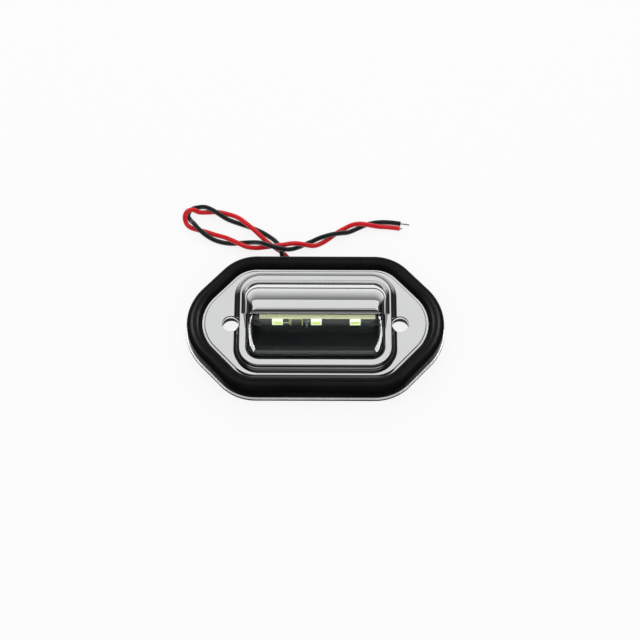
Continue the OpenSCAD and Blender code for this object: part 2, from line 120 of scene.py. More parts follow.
camera_data = bpy.data.cameras.new("photo_camera")
camera_data.sensor_width = 36.0
camera_data.lens = camera_data.sensor_width * CAMERA_DISTANCE / PICTURE_WIDTH
camera_data.clip_start = 0.01
camera = bpy.data.objects.new("photo_camera", camera_data)
away = Vector((0.0, -cos(CAMERA_ELEVATION), sin(CAMERA_ELEVATION)))
camera.matrix_world = (Matrix.Translation((AIM + CAMERA_DISTANCE * away) * MM)
                       @ Matrix.Rotation(pi / 2 - CAMERA_ELEVATION, 4, "X")
                       @ Matrix.Rotation(CAMERA_ROLL, 4, "Z"))
scene.collection.objects.link(camera)
scene.camera = camera
print("camera at", [round(v, 3) for v in camera.matrix_world.translation],
      "focal length", round(camera_data.lens, 1))

# %% [markdown]
# ## Helpers for meshes and Geometry Nodes
#
# Almost every shape of this lamp is a stack of rings, so one loft function
# makes them all: it joins rings that have the same number of points and closes
# both ends. Geometry Nodes trees are built by two short functions, one that
# opens a tree with named inputs and one that adds a node and feeds it.

# %% Loft, join and smooth
def new_object(name, mesh, *materials):
    """An object in the scene with a mesh and its materials."""
    obj = bpy.data.objects.new(name, mesh)
    scene.collection.objects.link(obj)
    for material in materials:
        mesh.materials.append(material)
    return obj


def loft(name, rings, *materials):
    """A closed mesh through rings of equal size, given in millimetres."""
    n = len(rings[0])
    points = [Vector(p) * MM for ring in rings for p in ring]
    faces = [tuple(reversed(range(n))), tuple(range(len(points) - n, len(points)))]
    for j in range(len(rings) - 1):
        low, high = j * n, (j + 1) * n
        for i in range(n):
            k = (i + 1) % n
            faces.append((low + i, low + k, high + k, high + i))
    mesh = bpy.data.meshes.new(name)
    mesh.from_pydata(points, [], faces)
    return new_object(name, mesh, *materials)


def plain_mesh(obj):
    """Replaces an object's mesh by its evaluated one and drops the modifiers."""
    depsgraph = bpy.context.evaluated_depsgraph_get()
    mesh = bpy.data.meshes.new_from_object(obj.evaluated_get(depsgraph))
    obj.modifiers.clear()
    obj.data = mesh
    mesh.name = obj.name
    return obj


def combine(base, tool, operation):
    """Boolean of two closed meshes; the tool is used up."""
    step = base.modifiers.new("combine", "BOOLEAN")
    step.operation = operation
    step.solver = "MANIFOLD"
    step.object = tool
    plain_mesh(base)
    bpy.data.objects.remove(tool)
    return base


def smooth(obj, sharp_angle=32.0):
    """Smooth shading that keeps large flats flat and real edges sharp."""
    for face in obj.data.polygons:
        face.use_smooth = True
    obj.data.set_sharp_from_angle(angle=radians(sharp_angle))
    weights = obj.modifiers.new("weights", "WEIGHTED_NORMAL")
    weights.mode = "FACE_AREA"
    weights.keep_sharp = True
    return plain_mesh(obj)


def finish_piece(obj, slot, *replaced):
    """Rides on the lamp's one body and stands for the named solids."""
    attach(obj, "root")
    if replaced:
        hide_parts(*replaced)
    print(f"{obj.name}: {len(obj.data.polygons)} faces")
    return obj


# %% Build a Geometry Nodes tree
def open_tree(name, *sockets):
    """A tree with named inputs; gives back the tree and what comes in."""
    tree = bpy.data.node_groups.new(name, "GeometryNodeTree")
    tree.interface.new_socket("Geometry", in_out="INPUT", socket_type="NodeSocketGeometry")
    for label, kind in sockets:
        tree.interface.new_socket(label, in_out="INPUT", socket_type="NodeSocket" + kind)
    tree.interface.new_socket("Geometry", in_out="OUTPUT", socket_type="NodeSocketGeometry")
    return tree, tree.nodes.new("NodeGroupInput").outputs


def feed(tree, node, values):
    """Links or sets a node's inputs, named by label or by number."""
    for label, value in values.items():
        socket = node.inputs[label]
        if isinstance(value, bpy.types.NodeSocket):
            tree.links.new(value, socket)
        else:
            socket.default_value = value


def add(tree, kind, values=None, **settings):
    """Adds a node, feeds it and gives back its outputs."""
    node = tree.nodes.new(kind)
    for name, value in settings.items():
        setattr(node, name, value)
    feed(tree, node, values or {})
    return node.outputs


def close_tree(tree, geometry, material):
    """Realizes what repeats, sets the material and ends the tree."""
    real = add(tree, "GeometryNodeRealizeInstances", {"Geometry": geometry})
    done = add(tree, "GeometryNodeSetMaterial", {"Geometry": real["Geometry"], "Material": material})
    end = tree.nodes.new("NodeGroupOutput")
    tree.links.new(done["Geometry"], end.inputs["Geometry"])


def run_tree(obj, tree, values):
    """Runs a tree on an object with its named inputs and keeps the plain mesh."""
    modifier = obj.modifiers.new(tree.name, "NODES")
    modifier.node_group = tree
    for item in tree.interface.items_tree:
        if item.in_out == "INPUT" and item.name in values:
            modifier[item.identifier] = values[item.name]
    plain_mesh(obj)
    return obj


# %% [markdown]
# ## Shader groups
#
# No surface is perfectly even. Two small node groups carry that for every
# finish: one drifts a colour slowly across the piece, and one gives a varying
# roughness and a fine height, made of smudges, grain and hairline scratches.
# A material places them with its own values and feeds a plain Principled BSDF.

# %% Shader node groups shared by the finishes
def open_group(name, inputs, outputs):
    """A shader group; gives back the group, what comes in and what goes out."""
    group = bpy.data.node_groups.new(name, "ShaderNodeTree")
    for label, kind, value in inputs:
        socket = group.interface.new_socket(label, in_out="INPUT", socket_type="NodeSocket" + kind)
        if value is not None:
            socket.default_value = value
    for label, kind in outputs:
        group.interface.new_socket(label, in_out="OUTPUT", socket_type="NodeSocket" + kind)
    return group, group.nodes.new("NodeGroupInput").outputs, group.nodes.new("NodeGroupOutput").inputs


def mix_colour(tree, share, first, second):
    """Mixes two colours, each a socket or four numbers."""
    return add(tree, "ShaderNodeMix", {0: share, 6: first, 7: second}, data_type="RGBA")[2]


def colour_drift_group():
    """Drifts from one colour to another in soft patches."""
    group, source, result = open_group(
        "Colour drift",
        [("Vector", "Vector", None), ("Colour", "Color", (1, 1, 1, 1)),
         ("Other colour", "Color", (0, 0, 0, 1)), ("Scale", "Float", 100.0), ("Amount", "Float", 0.5)],
        [("Colour", "Color"), ("Mask", "Float")])
    patches = add(group, "ShaderNodeTexNoise", {"Vector": source["Vector"], "Scale": source["Scale"],
                                                "Detail": 4.0, "Roughness": 0.6})
    spread = add(group, "ShaderNodeMapRange", {"Value": patches[0], "From Min": 0.35, "From Max": 0.7})
    mask = add(group, "ShaderNodeMath", {0: spread[0], 1: source["Amount"]}, operation="MULTIPLY")
    mixed = mix_colour(group, mask[0], source["Colour"], source["Other colour"])
    group.links.new(mixed, result["Colour"])
    group.links.new(mask[0], result["Mask"])
    return group


HAIR_TURN, HAIR_STRETCH = (0.3, 0.2, 0.7), (90.0, 2600.0, 2600.0)
HAIR_FROM, HAIR_TO, HAIR_ROUGHNESS = 0.66, 0.72, 0.2


def worn_surface_group():
    """Smudges swing the roughness; grain and stretched hairlines give the height."""
    group, source, result = open_group(
        "Worn surface",
        [("Vector", "Vector", None), ("Roughness", "Float", 0.3), ("Smudge", "Float", 0.1),
         ("Smudge scale", "Float", 60.0), ("Grain", "Float", 0.5), ("Grain scale", "Float", 3000.0),
         ("Scratches", "Float", 0.0)],
        [("Roughness", "Float"), ("Height", "Float")])
    smudge = add(group, "ShaderNodeTexNoise", {"Vector": source["Vector"], "Scale": source["Smudge scale"],
                                               "Detail": 3.0})
    grain = add(group, "ShaderNodeTexNoise", {"Vector": source["Vector"], "Scale": source["Grain scale"],
                                              "Detail": 2.0})
    stretched = add(group, "ShaderNodeMapping", {"Vector": source["Vector"], "Rotation": HAIR_TURN,
                                                 "Scale": HAIR_STRETCH})
    hairs = add(group, "ShaderNodeTexNoise", {"Vector": stretched[0], "Scale": 1.0, "Detail": 1.0})
    lines = add(group, "ShaderNodeMapRange", {"Value": hairs[0], "From Min": HAIR_FROM, "From Max": HAIR_TO})
    scratch = add(group, "ShaderNodeMath", {0: lines[0], 1: source["Scratches"]}, operation="MULTIPLY")
    centred = add(group, "ShaderNodeMath", {0: smudge[0], 1: 0.5}, operation="SUBTRACT")
    swing = add(group, "ShaderNodeMath", {0: centred[0], 1: source["Smudge"], 2: source["Roughness"]},
                operation="MULTIPLY_ADD")
    rough = add(group, "ShaderNodeMath", {0: scratch[0], 1: HAIR_ROUGHNESS, 2: swing[0]},
                operation="MULTIPLY_ADD")
    fine = add(group, "ShaderNodeMath", {0: grain[0], 1: source["Grain"]}, operation="MULTIPLY")
    height = add(group, "ShaderNodeMath", {0: fine[0], 1: scratch[0]}, operation="SUBTRACT")
    group.links.new(rough[0], result["Roughness"])
    group.links.new(height[0], result["Height"])
    return group


COLOUR_DRIFT = colour_drift_group()
WORN_SURFACE = worn_surface_group()
print("shader groups:", COLOUR_DRIFT.name, "and", WORN_SURFACE.name)


# %% A material from one recipe
def use_group(tree, group, values):
    """Places a group in a material and gives back its outputs."""
    node = tree.nodes.new("ShaderNodeGroup")
    node.node_tree = group
    feed(tree, node, values)
    return node.outputs


def make_material(name, colour, other, roughness, smudge, bump=0.00001, drift_scale=90.0, drift=0.5,
                  grain=0.5, grain_scale=3000.0, smudge_scale=60.0, scratches=0.0, **plain):
    """Colour drift, worn roughness and fine bump into a Principled BSDF."""
    material = bpy.data.materials.new(name)
    material.use_nodes = True
    tree = material.node_tree
    shader = tree.nodes["Principled BSDF"]
    place = add(tree, "ShaderNodeTexCoord")["Object"]
    tone = use_group(tree, COLOUR_DRIFT, {"Vector": place, "Colour": (*colour, 1.0),
                                          "Other colour": (*other, 1.0), "Scale": drift_scale,
                                          "Amount": drift})
    worn = use_group(tree, WORN_SURFACE, {"Vector": place, "Roughness": roughness, "Smudge": smudge,
                                          "Smudge scale": smudge_scale, "Grain": grain,
                                          "Grain scale": grain_scale, "Scratches": scratches})
    relief = add(tree, "ShaderNodeBump", {"Height": worn["Height"], "Distance": bump, "Strength": 1.0})
    tree.links.new(tone["Colour"], shader.inputs["Base Color"])
    tree.links.new(worn["Roughness"], shader.inputs["Roughness"])
    tree.links.new(relief["Normal"], shader.inputs["Normal"])
    for label, value in plain.items():
        shader.inputs[label.replace("_", " ")].default_value = value
    return material


# %% [markdown]
# ## The lead
#
# Two soft cores, red and black, are twisted together and lie behind the lamp
# in a loose loop, with bare ends. A core is a tube along a curve, which is
# what Curve to Mesh does best, so a small tree sweeps a circle along each
# path. The route is the pair's middle; the two cores turn round it. Soft
# insulation has a plain colour and a broad shine, and the tinned strands are a
# slightly warm metal.

# %% Finishes of the lead
RED_PVC = make_material("red_insulation", (0.72, 0.006, 0.014), (0.58, 0.004, 0.008), roughness=0.36,
                        smudge=0.12, bump=0.000012, grain_scale=2500.0, scratches=0.15,
                        Specular_IOR_Level=0.5)
BLACK_PVC = make_material("black_insulation", (0.008, 0.011, 0.011), (0.013, 0.016, 0.016), roughness=0.36,
                          smudge=0.12, bump=0.000012, grain_scale=2500.0, scratches=0.15,
                          Specular_IOR_Level=0.5)
TINNED_COPPER = make_material("tinned_strands", (0.90, 0.84, 0.80), (0.72, 0.60, 0.55), roughness=0.3,
                              smudge=0.2, drift_scale=900.0, Metallic=1.0)
print("lead finishes:", RED_PVC.name, BLACK_PVC.name, TINNED_COPPER.name)

# %% Route of the pair: x, y, height of the lower core and twist in degrees
ROUTE = [(-2.8, 0.75, 9, -180), (-2.8, 0.85, 4.6, -180), (-2.8, 1.35, 2.6, -180),
         (-2.95, 2.8, 1.15, -180), (-4, 5, 0.9, -180), (-8.5, 10.3, 0.85, -180),
         (-9.8, 14, 0.8, -180), (-9.8, 24.6, 0.8, -180), (-10.4, 27.3, 0.8, -150),
         (-12, 30, 0.8, -90), (-14.2, 32.7, 0.8, -35), (-17, 35.3, 0.8, 5), (-20.4, 37.8, 0.8, 50),
         (-23.8, 39.9, 0.8, 90), (-26.9, 41.8, 0.8, 135), (-30, 43.4, 0.8, 180),
         (-33.4, 44.7, 0.8, 230), (-36.5, 45.5, 0.8, 285), (-39.3, 46.1, 0.8, 345),
         (-41.9, 46, 0.8, 405), (-43.7, 44.5, 0.8, 455), (-43.9, 42.4, 0.8, 505),
         (-42.5, 40.1, 0.8, 570), (-40.2, 38.2, 0.8, 635), (-37.4, 36.7, 0.8, 685),
         (-34.2, 35.2, 0.8, 725), (-31, 33.9, 0.8, 765), (-28, 32.9, 0.9, 810),
         (-25.1, 32.3, 1.2, 858), (-22.2, 31.7, 1.9, 905), (-19.5, 30.8, 2.8, 945),
         (-16.8, 30, 3.7, 990), (-13.9, 29.5, 4.3, 1030), (-10.9, 29.6, 4.2, 1070),
         (-8, 30.4, 3, 1120), (-5.3, 31.3, 1.8, 1170), (-2.6, 32.3, 1, 1225),
         (0.4, 33.4, 0.8, 1280), (3.3, 34.6, 0.8, 1325), (6, 36, 0.8, 1365), (8.7, 37.4, 0.8, 1410),
         (11.6, 38.7, 0.8, 1460), (14.7, 39.6, 0.8, 1515), (18, 40.2, 0.8, 1570),
         (21.4, 40.5, 0.8, 1610), (25, 40.4, 0.8, 1620), (28.7, 39.9, 0.8, 1620)]
CORE_D, PAIR_GAP = 1.6, 0.3
PAIR_R = (CORE_D + PAIR_GAP) / 2
PATH_STEP = 0.6
# Keeps the rise of the pair smooth where one core passes under the other.
LIFT_EASE = 0.08
print("route points:", len(ROUTE), "turns of the pair:", round((ROUTE[-1][3] - ROUTE[0][3]) / 360, 1))


# %% Smooth path of each core
def between(a, b, c, d, t):
    """Point at share t of a smooth curve from b to c, which passes through every station."""
    return [0.5 * (2 * q + (r - p) * t + (2 * p - 5 * q + 4 * r - s) * t * t
                   + (3 * q - p - 3 * r + s) * t ** 3) for p, q, r, s in zip(a, b, c, d)]


def pair_stations():
    """Stations along the route, about PATH_STEP apart, each with its place and twist."""
    stations = []
    for i in range(len(ROUTE) - 1):
        a, b, c, d = ROUTE[max(i - 1, 0)], ROUTE[i], ROUTE[i + 1], ROUTE[min(i + 2, len(ROUTE) - 1)]
        n = ceil((Vector(c[:3]) - Vector(b[:3])).length / PATH_STEP)
        stations += [between(a, b, c, d, k / n) for k in range(n)]
    return stations + [list(ROUTE[-1])]


def core_path(side):
    """Centre of one core: side 1 is red and -1 is black."""
    stations = pair_stations()
    path = []
    for i, (x, y, z, twist) in enumerate(stations):
        p, q = stations[max(i - 1, 0)], stations[min(i + 1, len(stations) - 1)]
        left = Vector((p[1] - q[1], q[0] - p[0], 0)).normalized()
        turn = radians(twist)
        # The pair's middle rises with the twist, so that the lower core keeps lying on the table.
        lift = max(z, CORE_D / 2) + PAIR_R * sqrt(sin(turn) ** 2 + LIFT_EASE)
        path.append(Vector((x, y, lift)) + side * PAIR_R * (cos(turn) * left + Vector((0, 0, sin(turn)))))
    return path


def path_length(path):
    """Length along a path, in the path's own unit."""
    return sum((b - a).length for a, b in zip(path, path[1:]))


# %% Sweep a core along its path
CORE_SIDES = 20


def core_tree(material):
    tree, given = open_tree("Core sweep", ("Radius", "Float"), ("Sides", "Int"))
    line = add(tree, "GeometryNodeMeshToCurve", {"Mesh": given["Geometry"]})
    ring = add(tree, "GeometryNodeCurvePrimitiveCircle", {"Radius": given["Radius"],
                                                          "Resolution": given["Sides"]})
    tube = add(tree, "GeometryNodeCurveToMesh", {"Curve": line["Curve"], "Profile Curve": ring["Curve"],
                                                 "Fill Caps": True})
    close_tree(tree, tube["Mesh"], material)
    return tree


def make_core(name, side, material):
    path = [p * MM for p in core_path(side)]
    mesh = bpy.data.meshes.new(name)
    mesh.from_pydata(path, [(i, i + 1) for i in range(len(path) - 1)], [])
    core = new_object(name, mesh)
    run_tree(core, core_tree(material), {"Radius": CORE_D / 2 * MM, "Sides": CORE_SIDES})
    return smooth(core), path


red_core, red_path = make_core("red_core", 1, RED_PVC)
black_core, black_path = make_core("black_core", -1, BLACK_PVC)
print("core lengths in mm:", round(path_length(red_path) / MM), round(path_length(black_path) / MM))

# %% [markdown]
# Each bare end is a rope of seven fine tinned strands: one straight and six
# wound round it. Modelling one strand and repeating it is how the rope is made
# in the factory too, so the tree makes one helix, turns copies of it about the
# axis and sweeps a thin circle along them all.

# %% Wind the bare strands
COPPER_D, BLACK_BARE, RED_BARE = 0.8, 3.0, 0.8
STRANDS, STRANDS_ACROSS, STRAND_SIDES, HELIX_STEPS = 6, 3, 10, 32
ROPE_SHARE, TURN_LENGTH, ROPE_GAP = 0.7, 6.0, 0.02


def strand_tree():
    tree, given = open_tree("Bare strands", ("Length", "Float"), ("Rope radius", "Float"),
                            ("Strand radius", "Float"), ("Turns", "Float"), ("Count", "Int"),
                            ("Place", "Vector"), ("Turn", "Vector"))
    helix = add(tree, "GeometryNodeCurveSpiral", {"Resolution": HELIX_STEPS, "Rotations": given["Turns"],
                                                  "Start Radius": given["Rope radius"],
                                                  "End Radius": given["Rope radius"],
                                                  "Height": given["Length"]})
    around = add(tree, "GeometryNodeMeshLine", {"Count": given["Count"], "Offset": (0.0, 0.0, 0.0)})
    step = add(tree, "ShaderNodeMath", {0: 2 * pi, 1: given["Count"]}, operation="DIVIDE")
    index = add(tree, "GeometryNodeInputIndex")
    angle = add(tree, "ShaderNodeMath", {0: index[0], 1: step[0]}, operation="MULTIPLY")
    spin = add(tree, "ShaderNodeCombineXYZ", {"Z": angle[0]})
    copies = add(tree, "GeometryNodeInstanceOnPoints", {"Points": around["Mesh"], "Instance": helix["Curve"],
                                                        "Rotation": spin[0]})
    top = add(tree, "ShaderNodeCombineXYZ", {"Z": given["Length"]})
    middle = add(tree, "GeometryNodeCurvePrimitiveLine", {"End": top[0]})
    both = tree.nodes.new("GeometryNodeJoinGeometry")
    tree.links.new(copies["Instances"], both.inputs[0])
    tree.links.new(middle["Curve"], both.inputs[0])
    ring = add(tree, "GeometryNodeCurvePrimitiveCircle", {"Radius": given["Strand radius"],
                                                          "Resolution": STRAND_SIDES})
    real = add(tree, "GeometryNodeRealizeInstances", {"Geometry": both.outputs[0]})
    wires = add(tree, "GeometryNodeCurveToMesh", {"Curve": real["Geometry"], "Profile Curve": ring["Curve"],
                                                  "Fill Caps": True})
    seat = add(tree, "GeometryNodeTransform", {"Geometry": wires["Mesh"], "Translation": given["Place"],
                                               "Rotation": given["Turn"]})
    close_tree(tree, seat["Geometry"], TINNED_COPPER)
    return tree


STRAND_TREE = strand_tree()


def make_strands(name, path, bare):
    strand_r = COPPER_D * ROPE_SHARE / (2 * STRANDS_ACROSS) * MM
    way = (path[-1] - path[-2]).normalized()
    rope = new_object(name, bpy.data.meshes.new(name))
    run_tree(rope, STRAND_TREE, {"Length": bare * MM, "Rope radius": 2 * strand_r, "Strand radius": strand_r,
                                 "Turns": bare / TURN_LENGTH, "Count": STRANDS,
                                 "Place": path[-1] + ROPE_GAP * MM * way,
                                 "Turn": (0.0, acos(way.z), atan2(way.y, way.x))})
    return smooth(rope)


red_strands = make_strands("red_strands", red_path, RED_BARE)
black_strands = make_strands("black_strands", black_path, BLACK_BARE)

# %% [markdown]
# Each core and its bare strands ride on the lamp's one body and stand for
# the packed wires and conductors of the same names.

# %% Attach both cores and their strands
finish_piece(red_core, "red_wire", "red_wire")
finish_piece(black_core, "black_wire", "black_wire")
finish_piece(red_strands, "red_conductor", "red_conductor")
finish_piece(black_strands, "black_conductor", "black_conductor")
for core, path, strands in ((red_core, red_path, red_strands), (black_core, black_path, black_strands)):
    # The lead runs close behind and inside the lamp, so neither the chrome nor the lens shows it.
    core.visible_glossy = core.visible_transmission = False

# %% [markdown]
# ## Gasket
#
# The rubber gasket is one moulding: a rounded bead on the outside, a flat
# ledge that the cover sits on, and a thin foot lip that shows as a light line.
# All its rings share one outline, a hexagon with rounded tips and shoulders,
# moved inward. So a loft through the rings of one section makes bead, ledge
# and lip in one go, where a sweep would pinch at the corners. Booleans then
# cut the openings for the light box, the two mounting holes and the lead. The
# rubber is nearly black with a weak, broad shine, and the light line on the
# lip's top is a painted highlight: a light colour on the black rubber.

# %% Outline shared by gasket and cover
ARC_STEP = 2.0


def hexagon(inset, z, step=ARC_STEP):
    """Six-sided outline with round corners, moved inward; step is in degrees."""
    lean = radians(90 - SLANT)
    tip, shoulder = TIP_R - inset, SHOULDER_R - inset
    tx = HALF_LENGTH - TIP_R
    sy = HALF_HEIGHT - SHOULDER_R
    sx = tx + (TIP_R - SHOULDER_R - sy * sin(lean)) / cos(lean)
    corners = [(tx, 0, tip, -lean, lean), (sx, sy, shoulder, lean, pi / 2),
               (-sx, sy, shoulder, pi / 2, pi - lean), (-tx, 0, tip, pi - lean, pi + lean),
               (-sx, -sy, shoulder, pi + lean, 1.5 * pi), (sx, -sy, shoulder, 1.5 * pi, 2 * pi - lean)]
    ring = []
    for cx, cy, r, start, end in corners:
        n = ceil(degrees(end - start) / step)
        for k in range(n + 1):
            t = start + (end - start) * k / n
            ring.append((cx + r * cos(t), cy + r * sin(t), z))
    return ring


def oblong(hx, hy, r, z, n=16):
    """Rectangle with round corners: half sizes, corner radius, height and steps per corner."""
    ring = []
    for cx, cy, start in ((hx - r, hy - r, 0), (r - hx, hy - r, 1), (r - hx, r - hy, 2), (hx - r, r - hy, 3)):
        for k in range(n + 1):
            t = pi / 2 * (start + k / n)
            ring.append((cx + r * cos(t), cy + r * sin(t), z))
    return ring


def prism(name, outline, z0, z1):
    """An upright block with the given outline."""
    return loft(name, [[(x, y, z0) for x, y, z in outline], [(x, y, z1) for x, y, z in outline]])


print("points round the gasket:", len(hexagon(0, 0)))

# %% Rubber and the painted highlight at its foot
RUBBER = make_material("satin_rubber", (0.0022, 0.0022, 0.0024), (0.0045, 0.0045, 0.0048), roughness=0.31,
                       smudge=0.10, bump=0.00002, drift_scale=70.0, grain_scale=1800.0, smudge_scale=45.0,
                       scratches=0.2, Specular_IOR_Level=0.06)
# A light grey on the black rubber: a painted highlight, the bright line along the lip's top.
FOOT_HIGHLIGHT = make_material("painted_foot_highlight", (0.80, 0.80, 0.81), (0.60, 0.61, 0.62), roughness=0.35,
                          smudge=0.15, drift_scale=120.0, drift=0.6)
print("gasket finishes:", RUBBER.name, "and", FOOT_HIGHLIGHT.name)

# %% Section of the gasket
FOOT_TOP = 1.45
LIP_R, LIP_CHORD = 0.2, 0.06
NECK_R, NECK_CHORD = 0.1, 0.02
BEAD_STEPS = 40


def gasket_profile():
    """Inset and height of the section: the lip, the bead above it and the ledge."""
    half, rise = BEAD_W / 2, BEAD_H - BEAD_ARCH
    profile = [(LIP_R, 0), (LIP_CHORD, LIP_CHORD), (0, LIP_R), (0, LIP_T - LIP_R),
               (LIP_CHORD, LIP_T - LIP_CHORD), (LIP_R, LIP_T),
               (LIP_W - NECK_R + NECK_CHORD, LIP_T + NECK_CHORD), (LIP_W, LIP_T + NECK_R), (LIP_W, FOOT_TOP)]
    for k in range(BEAD_STEPS + 1):
        t = pi * k / BEAD_STEPS
        profile.append((LIP_W + half - half * cos(t), LEDGE_T + BEAD_ARCH + rise * sin(t)))
    return profile + [(LIP_W + BEAD_W, LEDGE_T)]


print("points in the gasket's section:", len(gasket_profile()))

# %% Mould the gasket and cut its openings
# Faces from this height up to FOOT_TOP get the painted highlight colour.
FOOT_HIGHLIGHT_FROM = LIP_T - 0.05
# Cutters reach past the surface, and a hair of flat keeps the slot's corner points apart.
CUT_PAST, SLOT_FLAT = 1.0, 0.001
CHANNEL_X, CHANNEL_INWARD, LEAD_CLEAR, CHANNEL_ROOF = -9.8, 2.0, 0.4, 0.2
CHANNEL_W = 2 * CORE_D + PAIR_GAP + 2 * LEAD_CLEAR
CHANNEL_H = CORE_D + LEAD_CLEAR + CHANNEL_ROOF


def cut_through(piece, name, outline, top):
    """Cuts an opening that runs from below the table's plane up to the given height."""
    combine(piece, prism(name, outline, -CUT_PAST, top), "DIFFERENCE")


def make_gasket():
    """Loft of the section with its three kinds of opening cut."""
    gasket = loft("gasket", [hexagon(d, z) for d, z in gasket_profile()], RUBBER, FOOT_HIGHLIGHT)
    # The lip's top and the foot of the bead get the light colour, a painted highlight.
    for face in gasket.data.polygons:
        if FOOT_HIGHLIGHT_FROM * MM < face.center.z < FOOT_TOP * MM:
            face.material_index = 1
    room = oblong(BOX_HX + BOX_GAP, BOX_HY + BOX_GAP, BOX_R + BOX_GAP, 0)
    cut_through(gasket, "room", room, LEDGE_T + CUT_PAST)
    for side in (-1, 1):
        slot = [(side * HOLE_X + x, HOLE_Y + y, 0)
                for x, y, z in oblong(SLOT_W / 2, (SLOT_W + SLOT_RUN) / 2, SLOT_W / 2 - SLOT_FLAT, 0)]
        cut_through(gasket, "slot", slot, LEDGE_T + CUT_PAST)
    x0, x1 = CHANNEL_X - CHANNEL_W / 2, CHANNEL_X + CHANNEL_W / 2
    y0, y1 = BOX_HY - CHANNEL_INWARD, 2 * HALF_HEIGHT
    cut_through(gasket, "channel", [(x0, y0, 0), (x1, y0, 0), (x1, y1, 0), (x0, y1, 0)], CHANNEL_H)
    return gasket


gasket = make_gasket()
finish_piece(smooth(gasket), "rubber_gasket", "rubber_gasket")

# %% [markdown]
# ## Chrome cover
#
# The cover is one plastic moulding, plated: a flat flange, a raised rim round
# the window, and the hood. Plating shows every facet in its reflections, so
# this piece is made much finer than the solid and from the same formulas. Its
# three forms are built one by one and joined by booleans, and weighted normals
# keep the flats flat. Roughness stays very low, and the scratches are faint.

# %% Finish of the plating
CHROME = make_material("chrome_plating", (0.86, 0.865, 0.87), (0.80, 0.81, 0.82), roughness=0.045,
                       smudge=0.03, bump=0.0000012, drift_scale=60.0, grain=1.0, grain_scale=700.0,
                       smudge_scale=90.0, scratches=0.12, Metallic=1.0)
print("cover finish:", CHROME.name)

# %% [markdown]
# The flange lies on the gasket's ledge and follows its outline. A rolled edge,
# a narrow border that slopes outward and a small step are what draws the thin
# dark and light lines round the plate, so the section has them as true shape.

# %% Flange with a rolled edge
EDGE_R, BORDER_W, BORDER_TILT = 0.3, 0.85, radians(10.5)
STEP_W, STEP_H, EDGE_STEPS = 0.28, 0.22, 8


def make_flange():
    """Rolled edge, a narrow border that slopes outward, and a step up to the plate."""
    roll_z = FLANGE_Z - STEP_H - (BORDER_W - EDGE_R) * tan(BORDER_TILT)
    profile = [(0, LEDGE_T)]
    for k in range(EDGE_STEPS + 1):
        t = pi / 2 * k / EDGE_STEPS
        profile.append((EDGE_R * (1 - cos(t)), roll_z - EDGE_R * (1 - sin(t))))
    for k in range(EDGE_STEPS + 1):
        drop = STEP_H * (1 + cos(pi * k / EDGE_STEPS)) / 2
        profile.append((BORDER_W + STEP_W * k / EDGE_STEPS, FLANGE_Z - drop))
    return loft("cover", [hexagon(FLANGE_IN + d, z) for d, z in profile], CHROME)


cover = make_flange()
print("flange faces:", len(cover.data.polygons))

# %% [markdown]
# The rim is a raised frame round the window, with a hollow foot, a flat top
# and a soft inner edge. Its section is the same all the way round, which is
# what a sweep is for: the tree rounds the corners of a rectangle and runs the
# section along it. The section comes in as a line of points, so the same tree
# would sweep any other moulding.

# %% Section of the rim
# Rim and hood start inside the flange, so that the booleans join solid to solid.
SINK_Z = LEDGE_T + 0.4
RIM_ARC, FOOT_STEPS, TOP_STEPS = radians(75.0), 12, 10
SILL_R, SILL_STEPS = 0.2, 6


def rim_profile():
    """Inset and height of the rim's section, from its hollow foot over the top."""
    profile = [(RIM_IN, SINK_Z), (-RIM_FOOT_OUT, SINK_Z)]
    for k in range(FOOT_STEPS + 1):
        t = RIM_ARC * k / FOOT_STEPS
        profile.append((RIM_FOOT_R * sin(t) - RIM_FOOT_OUT, FLANGE_Z + RIM_FOOT_R * (1 - cos(t))))
    for k in range(TOP_STEPS, -1, -1):
        t = RIM_ARC * k / TOP_STEPS
        profile.append((RIM_RUN - RIM_TOP_R * sin(t), RIM_Z - RIM_TOP_R * (1 - cos(t))))
    for k in range(SILL_STEPS, -1, -1):
        t = pi / 2 * k / SILL_STEPS
        profile.append((RIM_IN - SILL_R * cos(t), RIM_Z - SILL_R * (1 - sin(t))))
    return profile


print("points in the rim's section:", len(rim_profile()))

# %% Sweep the section round the window
CORNER_STEPS = 24


def rim_tree(material):
    """Sweeps the section that comes in round a rounded rectangle."""
    tree, given = open_tree("Rim sweep", ("Length", "Float"), ("Width", "Float"), ("Corner radius", "Float"))
    square = add(tree, "GeometryNodeCurvePrimitiveQuadrilateral", {"Width": given["Length"],
                                                                   "Height": given["Width"]})
    path = add(tree, "GeometryNodeFilletCurve", {"Curve": square["Curve"], "Count": CORNER_STEPS,
                                                 "Radius": given["Corner radius"]}, mode="POLY")
    upright = add(tree, "GeometryNodeSetCurveNormal", {"Curve": path["Curve"]}, mode="Z_UP")
    section = add(tree, "GeometryNodeMeshToCurve", {"Mesh": given["Geometry"]})
    sweep = add(tree, "GeometryNodeCurveToMesh", {"Curve": upright["Curve"],
                                                  "Profile Curve": section["Curve"]})
    close_tree(tree, sweep["Mesh"], material)
    return tree


def make_rim():
    section = [(-d * MM, -z * MM, 0) for d, z in reversed(rim_profile())]
    mesh = bpy.data.meshes.new("rim")
    mesh.from_pydata(section, [(i, (i + 1) % len(section)) for i in range(len(section))], [])
    rim = new_object("rim", mesh)
    return run_tree(rim, rim_tree(CHROME), {"Length": 2 * RIM_HX * MM, "Width": 2 * RIM_HY * MM,
                                            "Corner radius": RIM_R * MM})


combine(cover, make_rim(), "UNION")
print("flange and rim faces:", len(cover.data.polygons))

# %% [markdown]
# The hood keeps the light off the driver behind: half a drum, closed at the
# back and open at the front. Each height of it is a rounded rectangle, and
# five small formulas say how far that reaches: the back is a circle's arc, the
# ends lean in and round off, the lip rolls forward and the foot flares out.
# A stack of such levels is easy to change, which a sculpted shell is not.

# %% Formulas of the hood
MIN_END_R, MIN_CORNER_R, CORNER_SHARE, KNEE_OUT = 0.5, 0.3, 0.42, 0.1


